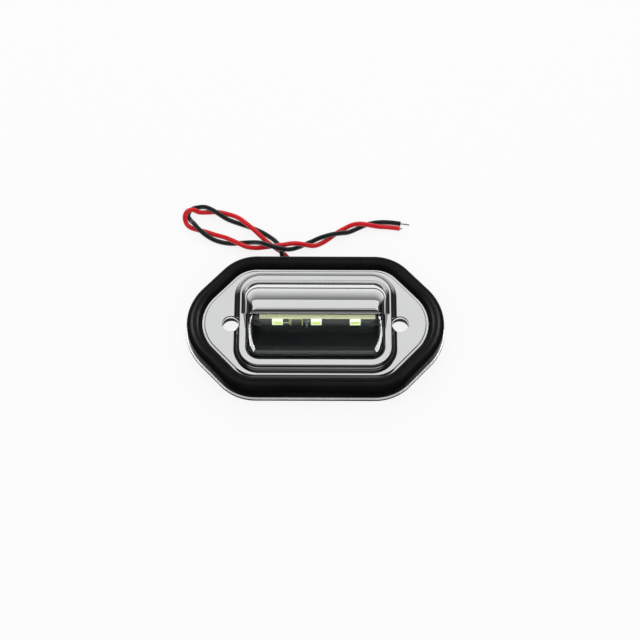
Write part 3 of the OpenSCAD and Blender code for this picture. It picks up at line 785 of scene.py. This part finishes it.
def back_y(z, s):
    """Back of the drum at height z, moved inward by s."""
    return sqrt(max((HOOD_R - s) ** 2 - (HOOD_R - HOOD_TOP + max(z, RIM_Z)) ** 2, 0))


def end_x(z, s, end_r=HOOD_END_R):
    """Half length at height z: the ends lean in and round off to the top."""
    r = max(end_r - s, MIN_END_R)
    top, foot = HOOD_TOP - s, HOOD_HX - s
    draft = tan(radians(HOOD_DRAFT))
    if z <= RIM_Z:
        return foot
    if z < top - r:
        return foot - (z - RIM_Z) * draft
    return foot - (top - r - RIM_Z) * draft - r + sqrt(max(r * r - (z - top + r) ** 2, 0))


def corner_r(r, y0, y1):
    """The wanted corner radius, or what still fits between front and back."""
    return max(min(r, CORNER_SHARE * (y1 - y0)), MIN_CORNER_R)


def lip_y(z):
    """Front of the hood: a leaning side up to the knee, then the rolled lip."""
    knee_z, knee_y = HOOD_TOP - HOOD_LIP_R, -HOOD_LIP_R - KNEE_OUT
    if z <= RIM_Z:
        return HOOD_FOOT_Y
    if z <= knee_z:
        return HOOD_FOOT_Y + (knee_y - HOOD_FOOT_Y) * (z - RIM_Z) / (knee_z - RIM_Z)
    return knee_y + HOOD_LIP_R - sqrt(max(HOOD_LIP_R ** 2 - (z - knee_z) ** 2, 0))


def flare(z):
    """How far the fillet at the foot reaches out."""
    d = (RIM_Z + HOOD_FILLET - max(z, RIM_Z)) / HOOD_FILLET
    return HOOD_FILLET * (1 - sqrt(max(1 - d * d, 0))) if d > 0 else 0.0


print(f"hood at the rim: back {back_y(RIM_Z, 0):.1f} mm, half length {end_x(RIM_Z, 0):.1f} mm")

# %% Stack the levels of the hood
CORNER_POINTS, LEVELS, FILLET_LEVELS = 24, 72, 14
# The last level stays just under the top, where the drum would close to a line.
TOP_GAP = 0.002
LIP_CORNER_R, HOLLOW_FRONT_R = 0.3, 1.0


def level(hx, y0, y1, r0, r1, z, n=CORNER_POINTS):
    """Half length, front, back, front and back corner radius, and height of one level."""
    ring = []
    for cx, cy, r, start in ((hx - r0, y0 + r0, r0, -1), (hx - r1, y1 - r1, r1, 0),
                             (r1 - hx, y1 - r1, r1, 1), (r0 - hx, y0 + r0, r0, 2)):
        for k in range(n):
            t = pi / 2 * (start + k / (n - 1))
            ring.append((cx + r * cos(t), cy + r * sin(t), z))
    return ring


def heights(z0, z1, n=LEVELS):
    """Heights that crowd toward the top, where the drum turns over."""
    return [z0 + (z1 - z0) * sin(pi / 2 * k / n) for k in range(n + 1)]


def make_hood():
    """An outer stack of levels with an inner one taken from it."""
    rings, hollow = [], []
    fillet = [RIM_Z + HOOD_FILLET * (1 - cos(pi / 2 * k / FILLET_LEVELS)) for k in range(FILLET_LEVELS)]
    for z in [SINK_Z] + fillet + heights(RIM_Z + HOOD_FILLET, HOOD_TOP - TOP_GAP):
        f, y0, y1 = flare(z), lip_y(z), back_y(z, 0)
        back_r = corner_r(HOOD_CORNER_R, y0, y1 + f) + f
        rings.append(level(end_x(z, 0) + f, y0, y1 + f, LIP_CORNER_R, back_r, z))
    for z in [0] + heights(RIM_Z, HOOD_TOP - HOOD_T - TOP_GAP):
        hollow.append(level(end_x(z, HOOD_T), -HALF_HEIGHT, back_y(z, HOOD_T), HOLLOW_FRONT_R,
                            HOOD_CORNER_R - HOOD_T, z))
    return combine(loft("hood", rings, CHROME), loft("hollow", hollow, CHROME), "DIFFERENCE")


hood = make_hood()
print("hood faces:", len(hood.data.polygons))

# %% [markdown]
# The window and the two mounting holes go through flange and rim, so they are
# cut before the hood is joined on. Plating softens every edge, and a hole that
# only had a sharp edge would look drawn on, so its cutter widens at the top.

# %% Cut the window and the mounting holes and join the hood
HOLE_SIDES = 64
SOFT_OUT, SOFT_DOWN = 0.3, 0.35


def hole_cutter(side):
    """Round cutter that widens at the top, so that the hole gets a soft edge."""
    rings = []
    for grow, z in ((0, LEDGE_T - CUT_PAST), (0, FLANGE_Z - HOLE_EDGE),
                    (HOLE_EDGE * SOFT_OUT, FLANGE_Z - HOLE_EDGE * SOFT_DOWN), (HOLE_EDGE, FLANGE_Z),
                    (HOLE_EDGE, RIM_Z + CUT_PAST)):
        r = HOLE_D / 2 + grow
        turns = [2 * pi * k / HOLE_SIDES for k in range(HOLE_SIDES)]
        rings.append([(side * HOLE_X + r * cos(t), HOLE_Y + r * sin(t), z) for t in turns])
    return loft("mounting_hole", rings, CHROME)


window = oblong(RIM_HX - RIM_IN, RIM_HY - RIM_IN, RIM_R - RIM_IN, 0, n=CORNER_STEPS)
combine(cover, prism("window", window, LEDGE_T - CUT_PAST, RIM_Z - SILL_R), "DIFFERENCE")
for side in (-1, 1):
    combine(cover, hole_cutter(side), "DIFFERENCE")
combine(cover, hood, "UNION")
finish_piece(smooth(cover), "chrome_cover", "chrome_cover")

# %% [markdown]
# ## Lens
#
# The clear lens is a dome under the hood that runs down to the rim in front.
# Its two faces follow the hood's formulas, a wall apart, because only a lens
# with a true inner face bends and mirrors light as the real one does. It is a
# glass shader; for shadow rays it is see-through, so that the lamps reach the
# board inside without caustics.

# %% Clear plastic
CLEAR_TINT, SHADOW_TINT = (0.93, 0.97, 0.96, 1.0), (0.93, 0.95, 0.95, 1.0)
ACRYLIC_IOR, LENS_BUMP = 1.49, 0.000001


def make_clear():
    """Glass with faint wear, see-through for shadow rays."""
    material = bpy.data.materials.new("clear_plastic")
    material.use_nodes = True
    tree = material.node_tree
    shader = tree.nodes["Principled BSDF"]
    place = add(tree, "ShaderNodeTexCoord")["Object"]
    worn = use_group(tree, WORN_SURFACE, {"Vector": place, "Roughness": 0.02, "Smudge": 0.03,
                                          "Smudge scale": 80.0, "Grain": 0.3, "Grain scale": 500.0,
                                          "Scratches": 0.3})
    relief = add(tree, "ShaderNodeBump", {"Height": worn["Height"], "Distance": LENS_BUMP, "Strength": 1.0})
    feed(tree, shader, {"Base Color": CLEAR_TINT, "Transmission Weight": 1.0, "IOR": ACRYLIC_IOR,
                        "Roughness": worn["Roughness"], "Normal": relief["Normal"]})
    see_through = add(tree, "ShaderNodeBsdfTransparent", {"Color": SHADOW_TINT})
    rays = add(tree, "ShaderNodeLightPath")
    blend = add(tree, "ShaderNodeMixShader", {0: rays["Is Shadow Ray"], 1: shader.outputs[0],
                                              2: see_through[0]})
    tree.links.new(blend[0], tree.nodes["Material Output"].inputs["Surface"])
    return material


CLEAR = make_clear()
print("lens finish:", CLEAR.name)

# %% Blow the dome
LENS_END_R = 4.2
# The lens flange stops a hair under the cover, and the dome starts inside the flange.
LENS_SEAT, DOME_SINK = 0.001, 0.2


def lens_y(z, s):
    """Front of the dome at height z: a quarter of an ellipse, moved inward by s."""
    b = HOOD_H - LENS_S - s
    return -(LENS_FRONT_Y - s) * sqrt(max(1 - (max(z - RIM_Z, 0) / b) ** 2, 0))


def dome(name, s, z0):
    """Stack of levels from z0 up, moved inward by s."""
    t = LENS_S + s
    rings = []
    for z in [z0] + heights(RIM_Z, HOOD_TOP - t - TOP_GAP):
        y0, y1 = lens_y(z, s), back_y(z, t)
        rings.append(level(end_x(z, t, LENS_END_R), y0, y1, corner_r(LENS_FRONT_R - s, y0, y1),
                           corner_r(HOOD_CORNER_R - t, y0, y1), z))
    return loft(name, rings, CLEAR)


lens = prism("lens", oblong(BOX_HX, BOX_HY, BOX_R, 0), LENS_FOOT_Z, LEDGE_T - LENS_SEAT)
lens.data.materials.append(CLEAR)
combine(lens, dome("outside", 0, LENS_FOOT_Z + DOME_SINK), "UNION")
combine(lens, dome("inside", LENS_T, 0), "DIFFERENCE")
finish_piece(smooth(lens), "clear_lens", "clear_lens")

# %% [markdown]
# ## Light box, board and small parts
#
# Behind the lens there is a black tray with a board that stands in a slot, and
# resin seals it from below. Hardly anything of the tray and the resin is seen,
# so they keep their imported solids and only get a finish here. The board and
# what is soldered to it are built finer. Seen through the lens, the board is
# black with a pale edge, the LEDs are a pale green and their gel is yellower.

# %% Finishes inside the lamp
BLACK_PLASTIC = make_material("black_tray", (0.006, 0.0075, 0.0075), (0.012, 0.013, 0.013), roughness=0.3,
                              smudge=0.15, grain_scale=2000.0, scratches=0.1, Specular_IOR_Level=0.08)
RESIN = make_material("poured_resin", (0.022, 0.023, 0.025), (0.035, 0.036, 0.038), roughness=0.22,
                      smudge=0.2, bump=0.00006, grain=1.0, grain_scale=350.0, drift_scale=200.0)
BOARD = make_material("board_edge", (0.48, 0.47, 0.28), (0.38, 0.38, 0.20), roughness=0.5, smudge=0.2,
                      drift_scale=900.0)
MASK = make_material("black_mask", (0.008, 0.011, 0.011), (0.016, 0.02, 0.02), roughness=0.3, smudge=0.1,
                     drift_scale=400.0, Specular_IOR_Level=0.1)
PAD = make_material("board_pad", (0.62, 0.68, 0.22), (0.42, 0.48, 0.15), roughness=0.35, smudge=0.2,
                    drift_scale=1500.0)
PACKAGE = make_material("led_package", (0.82, 0.89, 0.66), (0.76, 0.83, 0.58), roughness=0.35, smudge=0.1,
                        drift_scale=900.0)
PHOSPHOR = make_material("phosphor", (0.68, 0.78, 0.22), (0.58, 0.68, 0.15), roughness=0.3, smudge=0.1,
                         drift_scale=1500.0)
MOULDED = make_material("moulded_body", (0.012, 0.012, 0.013), (0.02, 0.02, 0.022), roughness=0.4,
                        smudge=0.1)
SOLDER = make_material("solder", (0.34, 0.34, 0.35), (0.22, 0.22, 0.23), roughness=0.25, smudge=0.2,
                       drift_scale=1200.0, Metallic=1.0)
print("finishes so far:", len(bpy.data.materials))

# %% Give the tray and the resin their finishes
for name, finish in (("light_box", BLACK_PLASTIC), ("back_resin", RESIN)):
    for slot in nodes[name].material_slots:
        slot.material = finish
    print(name, "is finished as", finish.name)

# %% [markdown]
# The small parts are a few millimetres long, and the lens shows them close.
# They could be boxes with a bevel modifier, but a part of a few blocks with
# broken edges is lighter and keeps its exact size: a block is a loft of three
# rings, given by its middle, its size and its reach from the board.

# %% Blocks on the board
BOARD_X, BOARD_Y, BOARD_T, BOARD_TOP, BOARD_FOOT = 0.6, -2.2, 1.6, 12.6, 2.2
BOARD_END_GAP, BOARD_END_R, BOARD_EDGE = 1.9, 2.6, 0.08


def block(name, x, z, w, h, out, bevel, *materials, back=0.0):
    """Block on the LED side: middle x, z, size w by h, from back to out off the board."""
    rings = []
    for inset, off in ((0, back), (0, out - bevel), (bevel, out)):
        hw, hh = w / 2 - inset, h / 2 - inset
        rings.append([(x - hw, BOARD_Y - off, z - hh), (x + hw, BOARD_Y - off, z - hh),
                      (x + hw, BOARD_Y - off, z + hh), (x - hw, BOARD_Y - off, z + hh)])
    return loft(name, rings, *materials)


def merge(name, *pieces):
    """Joins closed pieces, with their materials, into one mesh."""
    materials = []
    for piece in pieces:
        materials += [m for m in piece.data.materials if m not in materials]
    points, faces, marks = [], [], []
    for piece in pieces:
        start = len(points)
        points += [v.co.copy() for v in piece.data.vertices]
        for face in piece.data.polygons:
            faces.append([start + i for i in face.vertices])
            marks.append(materials.index(piece.data.materials[face.material_index]))
        bpy.data.objects.remove(piece)
    mesh = bpy.data.meshes.new(name)
    mesh.from_pydata(points, [], faces)
    joined = new_object(name, mesh, *materials)
    for face, mark in zip(mesh.polygons, marks):
        face.material_index = mark
    return joined


# %% [markdown]
# The board is a pale laminate with a black mask on its two faces, so only the
# cut edge is light. Two materials on one mesh do that: the faces that look to
# the lens or to the back get the mask, and all others stay pale.

# %% Board with a pale edge and dark faces
def make_board():
    """Thin upright plate with broken edges."""
    half = end_x(BOARD_TOP, LENS_S + LENS_T, BOARD_END_R) - BOARD_END_GAP
    x0, x1, y0, y1, b = BOARD_X - half, BOARD_X + half, BOARD_Y, BOARD_Y + BOARD_T, BOARD_EDGE
    rings = []
    for inset, z in ((b, BOARD_FOOT), (0, BOARD_FOOT + b), (0, BOARD_TOP - b), (b, BOARD_TOP)):
        rings.append([(x0 + inset, y0 + inset, z), (x1 - inset, y0 + inset, z),
                      (x1 - inset, y1 - inset, z), (x0 + inset, y1 - inset, z)])
    board = loft("board", rings, BOARD, MASK)
    for face in board.data.polygons:
        faces_lens_or_back = abs(face.normal.y) > 0.9
        face.material_index = 1 if faces_lens_or_back else 0
    return board


small_parts = [finish_piece(make_board(), "led_board", "led_board")]

# %% [markdown]
# The three LEDs are alike: a pale package with a window, and phosphor gel in
# it. Each is a piece of its own, so the tree that repeats a shape along the
# board runs once for each package and gel, with a count of one. The same tree
# later lays the solder pads beside all three in one run.

# %% Row of copies along the board
def row_tree(material):
    """Sets copies of the shape that comes in at even steps along X."""
    tree, given = open_tree("Row along the board", ("Count", "Int"), ("Pitch", "Float"), ("First", "Vector"))
    step = add(tree, "ShaderNodeCombineXYZ", {"X": given["Pitch"]})
    line = add(tree, "GeometryNodeMeshLine", {"Count": given["Count"], "Start Location": given["First"],
                                              "Offset": step[0]})
    copies = add(tree, "GeometryNodeInstanceOnPoints", {"Points": line["Mesh"],
                                                        "Instance": given["Geometry"]})
    close_tree(tree, copies["Instances"], material)
    return tree


def place_row(piece, count, pitch, first_x):
    """Repeats a piece along the board, from first_x on."""
    tree = row_tree(piece.data.materials[0])
    return run_tree(piece, tree, {"Count": count, "Pitch": pitch * MM, "First": (first_x * MM, 0.0, 0.0)})


# %% LED packages with a recessed window
LED_X, LED_PITCH, LED_L, LED_H, LED_D, LED_WALL, LED_BEVEL = 0.3, 12.7, 3.5, 2.8, 0.9, 0.4, 0.12
LED_Z = BOARD_TOP - LED_H / 2
WINDOW_L, WINDOW_H, WINDOW_D = LED_L - 2 * LED_WALL, LED_H - 2 * LED_WALL, LED_D / 3
WINDOW_R, WINDOW_FLARE, WINDOW_PAST = 0.7, 0.06, 0.2
GEL_FLARE, GEL_BELOW = -0.02, 0.12


def window_rings(grow, *depths):
    """Rounded window outlines that stand parallel to the board."""
    outline = oblong(WINDOW_L / 2, WINDOW_H / 2, WINDOW_R, 0, n=8)
    return [[(x * (1 + grow * k), BOARD_Y - d, LED_Z + z * (1 + grow * k)) for x, z, flat in outline]
            for k, d in enumerate(depths)]


def make_led(x, name):
    """Package with a hollow window, and the gel that fills it."""
    package = block(name, 0, LED_Z, LED_L, LED_H, LED_D, LED_BEVEL, PACKAGE)
    hollow = window_rings(WINDOW_FLARE, LED_D - WINDOW_D, LED_D + WINDOW_PAST)
    combine(package, loft("window", hollow, PACKAGE), "DIFFERENCE")
    filling = window_rings(GEL_FLARE, LED_D - WINDOW_D, LED_D - GEL_BELOW)
    gel = loft(name.replace("led", "phosphor"), filling, PHOSPHOR)
    return [smooth(place_row(piece, 1, 0.0, x)) for piece in (package, gel)]


for k, side in ((-1, "left"), (0, "middle"), (1, "right")):
    package, gel = make_led(LED_X + k * LED_PITCH, f"led_{side}_package")
    small_parts += [finish_piece(package, f"led_{side}", f"led_{side}"),
                    finish_piece(gel, f"phosphor_{side}", f"phosphor_{side}")]

# %% [markdown]
# Between the left and the middle LED sit a black moulded diode with a pale
# band, two chip resistors with metal caps, and the solder cones of the lead.
# They show as small dark shapes with a few glints, so a handful of blocks and
# a turned cone are enough, as long as the sizes are those of the real parts.

# %% Places of the small parts
PART_GAP = 0.4
DIODE_L, DIODE_H, DIODE_D, DIODE_BEVEL = 1.6, 2.7, 1.0, 0.15
BAND_H, BAND_DROP, BAND_IN, BAND_PROUD, BAND_DEEP, BAND_BEVEL = 0.35, 0.5, 0.1, 0.01, 0.1, 0.005
FOOT_L, FOOT_OUT, FOOT_T, FOOT_BEVEL = 0.9, 0.4, 0.3, 0.06
RESISTOR_L, RESISTOR_H, RESISTOR_D, RESISTOR_PITCH = 3.3, 1.6, 0.6, 2.2
CAP_L, CAP_RISE, CAP_BEVEL, BODY_BEVEL = 0.5, 0.1, 0.06, 0.04
JOINT_D, JOINT_PITCH, JOINT_SIDES = 1.8, 3.0, 32
JOINT_SECTION = ((JOINT_D / 2, 0.0), (JOINT_D / 2, 0.04), (0.72, 0.12), (0.55, 0.3), (0.48, 0.5),
                 (0.4, 0.72), (0.3, 0.83), (0.15, 0.89))
DIODE_X = LED_X - LED_PITCH + LED_L / 2 + PART_GAP + DIODE_L / 2
DIODE_Z = BOARD_TOP - FOOT_OUT - DIODE_H / 2
JOINT_X = LED_X - LED_L / 2 - PART_GAP - JOINT_D / 2
JOINT_Z = BOARD_TOP - PART_GAP - JOINT_D / 2
RESISTOR_X = (DIODE_X + DIODE_L / 2 + JOINT_X - JOINT_D / 2) / 2
RESISTOR_Z = BOARD_TOP - PART_GAP - RESISTOR_H / 2
print(f"diode at {DIODE_X:.1f}, resistors at {RESISTOR_X:.1f}, solder joints at {JOINT_X:.1f} mm")


# %% Diode, resistors and solder
def make_diode():
    """Moulded body with a pale band, on two metal feet."""
    body = block("body", DIODE_X, DIODE_Z, DIODE_L, DIODE_H, DIODE_D, DIODE_BEVEL, MOULDED)
    band = block("band", DIODE_X, DIODE_Z + DIODE_H / 2 - BAND_DROP, DIODE_L - 2 * BAND_IN, BAND_H,
                 DIODE_D + BAND_PROUD, BAND_BEVEL, PAD, back=DIODE_D - BAND_DEEP)
    feet = block("feet", DIODE_X, DIODE_Z, FOOT_L, DIODE_H + 2 * FOOT_OUT, FOOT_T, FOOT_BEVEL, SOLDER)
    return merge("diode_body", body, band, feet)


def make_resistor(name, z):
    """Chip with a metal cap at each end."""
    body = block("body", RESISTOR_X, z, RESISTOR_L - CAP_L, RESISTOR_H - CAP_RISE, RESISTOR_D - CAP_RISE,
                 BODY_BEVEL, MOULDED)
    caps = [block("cap", RESISTOR_X + side * (RESISTOR_L - CAP_L) / 2, z, CAP_L, RESISTOR_H, RESISTOR_D,
                  CAP_BEVEL, SOLDER) for side in (-1, 1)]
    return merge(name, body, *caps)


def make_joint(z):
    """Cone of solder, turned from its section of radius and height off the board."""
    turns = [-2 * pi * k / JOINT_SIDES for k in range(JOINT_SIDES)]
    rings = [[(JOINT_X + r * cos(t), BOARD_Y - off, z + r * sin(t)) for t in turns]
             for r, off in JOINT_SECTION]
    return loft("joint", rings, SOLDER)


finish_piece(smooth(make_diode()), "diode", "diode")
for name, z in (("resistor_upper", RESISTOR_Z), ("resistor_lower", RESISTOR_Z - RESISTOR_PITCH)):
    finish_piece(smooth(make_resistor(name + "_body", z)), name, name)
joints = merge("joints", make_joint(JOINT_Z), make_joint(JOINT_Z - JOINT_PITCH))
finish_piece(smooth(joints), "solder_joints", "solder_joints")

# %% [markdown]
# The mask leaves thin pale frames of bare board round the parts, and each LED
# stands between two solder pads. They lie flat on the board. A painted pattern
# could show them too, but very low blocks catch the light like the real ones,
# and the row tree lays three pads at a time.

# %% Pads and pale lines round the parts
LINE_W, LINE_T, LINE_BEVEL = 0.18, 0.03, 0.01
RESISTOR_ROOM, DIODE_ROOM = (0.5, 0.4), (0.4, 0.5)
PAD_L, PAD_H, PAD_T, PAD_BEVEL, PAD_OUT = 0.7, 1.8, 0.05, 0.015, 0.1


def frame_line(x, z, w, h):
    """Thin pale frame of bare board round a part."""
    sides = [block("line", x, z + s * h / 2, w + LINE_W, LINE_W, LINE_T, LINE_BEVEL, PAD) for s in (-1, 1)]
    sides += [block("line", x + s * w / 2, z, LINE_W, h - LINE_W, LINE_T, LINE_BEVEL, PAD) for s in (-1, 1)]
    return merge("line", *sides)


pads = []
for side in (-1, 1):
    pad = block("pad", 0, LED_Z, PAD_L, PAD_H, PAD_T, PAD_BEVEL, SOLDER)
    pads.append(place_row(pad, 3, LED_PITCH, LED_X - LED_PITCH + side * (LED_L / 2 + PAD_OUT)))
lines = [frame_line(RESISTOR_X, z, RESISTOR_L + RESISTOR_ROOM[0], RESISTOR_H + RESISTOR_ROOM[1])
         for z in (RESISTOR_Z, RESISTOR_Z - RESISTOR_PITCH)]
lines.append(frame_line(DIODE_X, DIODE_Z, DIODE_L + DIODE_ROOM[0], DIODE_H + DIODE_ROOM[1]))
small_parts.append(finish_piece(merge("board_print", *pads, *lines), "led_board"))

# %% [markdown]
# ## Table
#
# The lamp lies on a white sheet that runs into a white background. A plain
# white floor would also fill every polished face with white, so the floor's
# material tells the rays apart. The camera sees white with the lamp's shadow
# on it, and reflections see the white sheet behind and beside the lamp only.

# %% White table
TABLE_COLOUR, WHITE_SHARE, FAR_TONE = (0.9, 0.9, 0.9, 1.0), 0.85, 0.02
SHEET_MIDDLE_Y, SHEET_R, SHEET_FADE = 62.0, 78.0, 90.0
TABLE_HALF, TABLE_T = 1500.0, 20.0


def make_table():
    """White with a shadow for the camera; reflections see it beside and behind the lamp only."""
    material = bpy.data.materials.new("white_table")
    material.use_nodes = True
    tree = material.node_tree
    shader = tree.nodes["Principled BSDF"]
    feed(tree, shader, {"Base Color": TABLE_COLOUR, "Roughness": 0.7, "Specular IOR Level": 0.1})
    glow = add(tree, "ShaderNodeEmission")
    dark = add(tree, "ShaderNodeEmission", {"Strength": FAR_TONE})
    rays = add(tree, "ShaderNodeLightPath")
    straight = add(tree, "ShaderNodeMath", {0: rays["Is Camera Ray"], 1: rays["Is Glossy Ray"]},
                   operation="ADD")
    seen = add(tree, "ShaderNodeMath", {0: straight[0], 1: rays["Is Transmission Ray"]}, operation="ADD",
               use_clamp=True)
    share = add(tree, "ShaderNodeMath", {0: seen[0], 1: WHITE_SHARE}, operation="MULTIPLY")
    white = add(tree, "ShaderNodeMixShader", {0: share[0], 1: shader.outputs[0], 2: glow[0]})
    place = add(tree, "ShaderNodeTexCoord")["Object"]
    from_middle = add(tree, "ShaderNodeVectorMath", {0: place, 1: (0.0, SHEET_MIDDLE_Y * MM, 0.0)},
                      operation="SUBTRACT")
    reach = add(tree, "ShaderNodeVectorMath", {0: from_middle[0]}, operation="LENGTH")["Value"]
    far = add(tree, "ShaderNodeMapRange", {"Value": reach, "From Min": SHEET_R * MM,
                                           "From Max": SHEET_FADE * MM})
    hidden = add(tree, "ShaderNodeMath", {0: far[0], 1: rays["Is Glossy Ray"]}, operation="MULTIPLY")
    blend = add(tree, "ShaderNodeMixShader", {0: hidden[0], 1: white[0], 2: dark[0]})
    tree.links.new(blend[0], tree.nodes["Material Output"].inputs["Surface"])
    material.cycles.emission_sampling = "NONE"
    return material


table = prism("table", [(-TABLE_HALF, -TABLE_HALF, 0), (TABLE_HALF, -TABLE_HALF, 0),
                        (TABLE_HALF, TABLE_HALF, 0), (-TABLE_HALF, TABLE_HALF, 0)], -TABLE_T, 0.0)
table.data.materials.append(make_table())
print("table finish:", table.data.materials[0].name)

# %% [markdown]
# ## Surroundings
#
# Chrome has hardly a colour of its own: it shows what stands round it, so a
# studio sets light and dark boards there. The world does the same without any
# boards. Two ramps give a grey for each height, one for what is behind the
# lamp and one for what is in front, and both are dimmed toward the sides,
# which draws the dark lines down the ends of the rim. The camera itself sees
# plain white.

# %% Tones that the chrome shows, by elevation in degrees
BEHIND = ((0, 0.95), (10, 0.78), (22, 0.52), (32, 0.27), (41, 0.12), (90, 0.08))
IN_FRONT = ((0, 0.40), (10, 0.30), (20, 0.05), (34, 0.02), (38, 0.16), (46, 0.16), (50, 0.02), (90, 0.04))
BACK_FROM, BACK_FULL = 0.5, 0.85
SIDE_FROM, SIDE_FULL, SIDE_SHARE = 0.6, 0.8, 0.15
WHITE = (1.0, 1.0, 1.0, 1.0)


def sky_ramp(tree, height, tones):
    """Grey tones by elevation, from the horizon to straight overhead."""
    ramp = tree.nodes.new("ShaderNodeValToRGB")
    stops = ramp.color_ramp.elements
    stops[0].color = (*[tones[0][1]] * 3, 1.0)
    stops[1].color = (*[tones[-1][1]] * 3, 1.0)
    for elevation, tone in tones[1:-1]:
        stops.new(elevation / 90).color = (tone, tone, tone, 1.0)
    tree.links.new(height, ramp.inputs[0])
    return ramp.outputs[0]


def make_world():
    """Grey by height and bearing for the chrome, plain white for the camera."""
    world = bpy.data.worlds.new("studio")
    world.use_nodes = True
    tree = world.node_tree
    ray = add(tree, "ShaderNodeTexCoord")["Generated"]
    part = add(tree, "ShaderNodeSeparateXYZ", {0: ray})
    angle = add(tree, "ShaderNodeMath", {0: part["Z"]}, operation="ARCSINE")
    height = add(tree, "ShaderNodeMapRange", {"Value": angle[0], "From Min": 0.0, "From Max": pi / 2})
    flat = add(tree, "ShaderNodeVectorMath", {0: ray, 1: (1.0, 1.0, 0.0)}, operation="MULTIPLY")
    bearing = add(tree, "ShaderNodeVectorMath", {0: flat[0]}, operation="NORMALIZE")
    toward = add(tree, "ShaderNodeSeparateXYZ", {0: bearing[0]})
    backward = add(tree, "ShaderNodeMapRange", {"Value": toward["Y"], "From Min": BACK_FROM,
                                                "From Max": BACK_FULL})
    sideways = add(tree, "ShaderNodeMath", {0: toward["X"]}, operation="ABSOLUTE")
    dimmer = add(tree, "ShaderNodeMapRange", {"Value": sideways[0], "From Min": SIDE_FROM,
                                              "From Max": SIDE_FULL, "To Min": 1.0, "To Max": SIDE_SHARE})
    around = mix_colour(tree, backward[0], sky_ramp(tree, height[0], IN_FRONT),
                        sky_ramp(tree, height[0], BEHIND))
    dimmed = add(tree, "ShaderNodeVectorMath", {0: around, "Scale": dimmer[0]}, operation="SCALE")
    rays = add(tree, "ShaderNodeLightPath")
    shown = mix_colour(tree, rays["Is Camera Ray"], dimmed[0], WHITE)
    tree.links.new(shown, tree.nodes["Background"].inputs["Color"])
    scene.world = world
    return world


print("surroundings:", make_world().name)

# %% [markdown]
# ## Lamps
#
# One wide soft box overhead reaches back over the lamp and makes the flat
# plate bright. Five even fills bring the rubber, the lead and the table to a
# plain level, and no reflection shows them. Black rubber and a clear dome
# still look dead under that light, so a photographer gives them lamps of their
# own and flags these from the rest. Light linking does it here: a streak along
# each end of the gasket, bright bands down the ends of the lens, a faint one
# along its front, and a lamp that only reaches the board behind it.

# %% Soft box overhead
SOFTBOX_HEIGHT, SOFTBOX_HALF_WIDTH, SOFTBOX_TONE = 600.0, 350.0, 0.68
SOFTBOX_BACK = SOFTBOX_HEIGHT * tan(radians(51.0))
SOFTBOX_FRONT = SOFTBOX_HEIGHT * tan(radians(10.0))
SOFTBOX_Y = (SOFTBOX_BACK + SOFTBOX_FRONT) / 2


def area_lamp(name, place, aim, size, radiance, glossy=True):
    """Rectangle lamp of a given radiance, turned from its place toward its aim."""
    data = bpy.data.lights.new(name, "AREA")
    data.shape = "RECTANGLE"
    data.size, data.size_y = size[0] * MM, size[1] * MM
    data.energy = radiance * pi * data.size * data.size_y
    lamp = bpy.data.objects.new(name, data)
    away_from = (Vector(place) - Vector(aim)).normalized()
    lamp.matrix_world = (Matrix.Translation(Vector(place) * MM)
                         @ away_from.to_track_quat("Z", "Y").to_matrix().to_4x4())
    lamp.visible_glossy = lamp.visible_transmission = glossy
    scene.collection.objects.link(lamp)
    return lamp


soft_box = area_lamp("soft_box", (0, SOFTBOX_Y, SOFTBOX_HEIGHT), (0, SOFTBOX_Y, 0),
                     (2 * SOFTBOX_HALF_WIDTH, SOFTBOX_BACK - SOFTBOX_FRONT), SOFTBOX_TONE)
print(f"{soft_box.name}: {soft_box.data.energy:.2f} W")

# %% Even fills
MIDDLE = (0, 0, 0)
FILL_TONE, FILL_SIZE = 1.35, (600, 600)
FILLS = (("top_fill", (0, 0, 700)), ("front_fill", (0, -600, 350)), ("left_fill", (-650, 0, 350)),
         ("right_fill", (650, 0, 350)), ("back_fill", (0, 600, 350)))
for name, place in FILLS:
    area_lamp(name, place, MIDDLE, FILL_SIZE, FILL_TONE, glossy=False)
print("fills:", len(FILLS))

# %% Flagged lamps for lens, rubber and board
LENS_AT, LENS_LAMP_SIZE, LENS_TONE = (520, -110, 210), (880, 400), 17.0
LENS_FRONT_AT, LENS_FRONT_SIZE, LENS_FRONT_TONE = (0, -600, 145), (900, 270), 0.9
RUBBER_AT, RUBBER_LAMP_SIZE, RUBBER_TONE = (290, 300, 540), (120, 120), 60.0
BOARD_AT, BOARD_LAMP_SIZE, BOARD_TONE = (0, -520, 330), (300, 300), 5.6


def flagged_lamp(name, at, size, tone, pieces, side=1, glossy=True):
    """A lamp that only the given pieces see; side -1 puts it on the left."""
    lamp = area_lamp(name, (side * at[0], at[1], at[2]), MIDDLE, size, tone, glossy)
    group = bpy.data.collections.new(name + "_pieces")
    for piece in pieces:
        group.objects.link(piece)
    lamp.light_linking.receiver_collection = group
    return lamp


for side, name in ((-1, "left"), (1, "right")):
    lens_lamp = flagged_lamp(name + "_lens_lamp", LENS_AT, LENS_LAMP_SIZE, LENS_TONE, [lens], side)
    # Rays that have passed the lens would still meet this lamp, and it would whiten the board.
    lens_lamp.visible_transmission = False
    flagged_lamp(name + "_rubber_lamp", RUBBER_AT, RUBBER_LAMP_SIZE, RUBBER_TONE, [gasket], side)
flagged_lamp("front_lens_lamp", LENS_FRONT_AT, LENS_FRONT_SIZE, LENS_FRONT_TONE, [lens])
flagged_lamp("board_lamp", BOARD_AT, BOARD_LAMP_SIZE, BOARD_TONE, small_parts, glossy=False)

# %% [markdown]
# ## Colour view
#
# Colours render as written under the Standard view.

# %% Colour view
scene.view_settings.view_transform = "Standard"
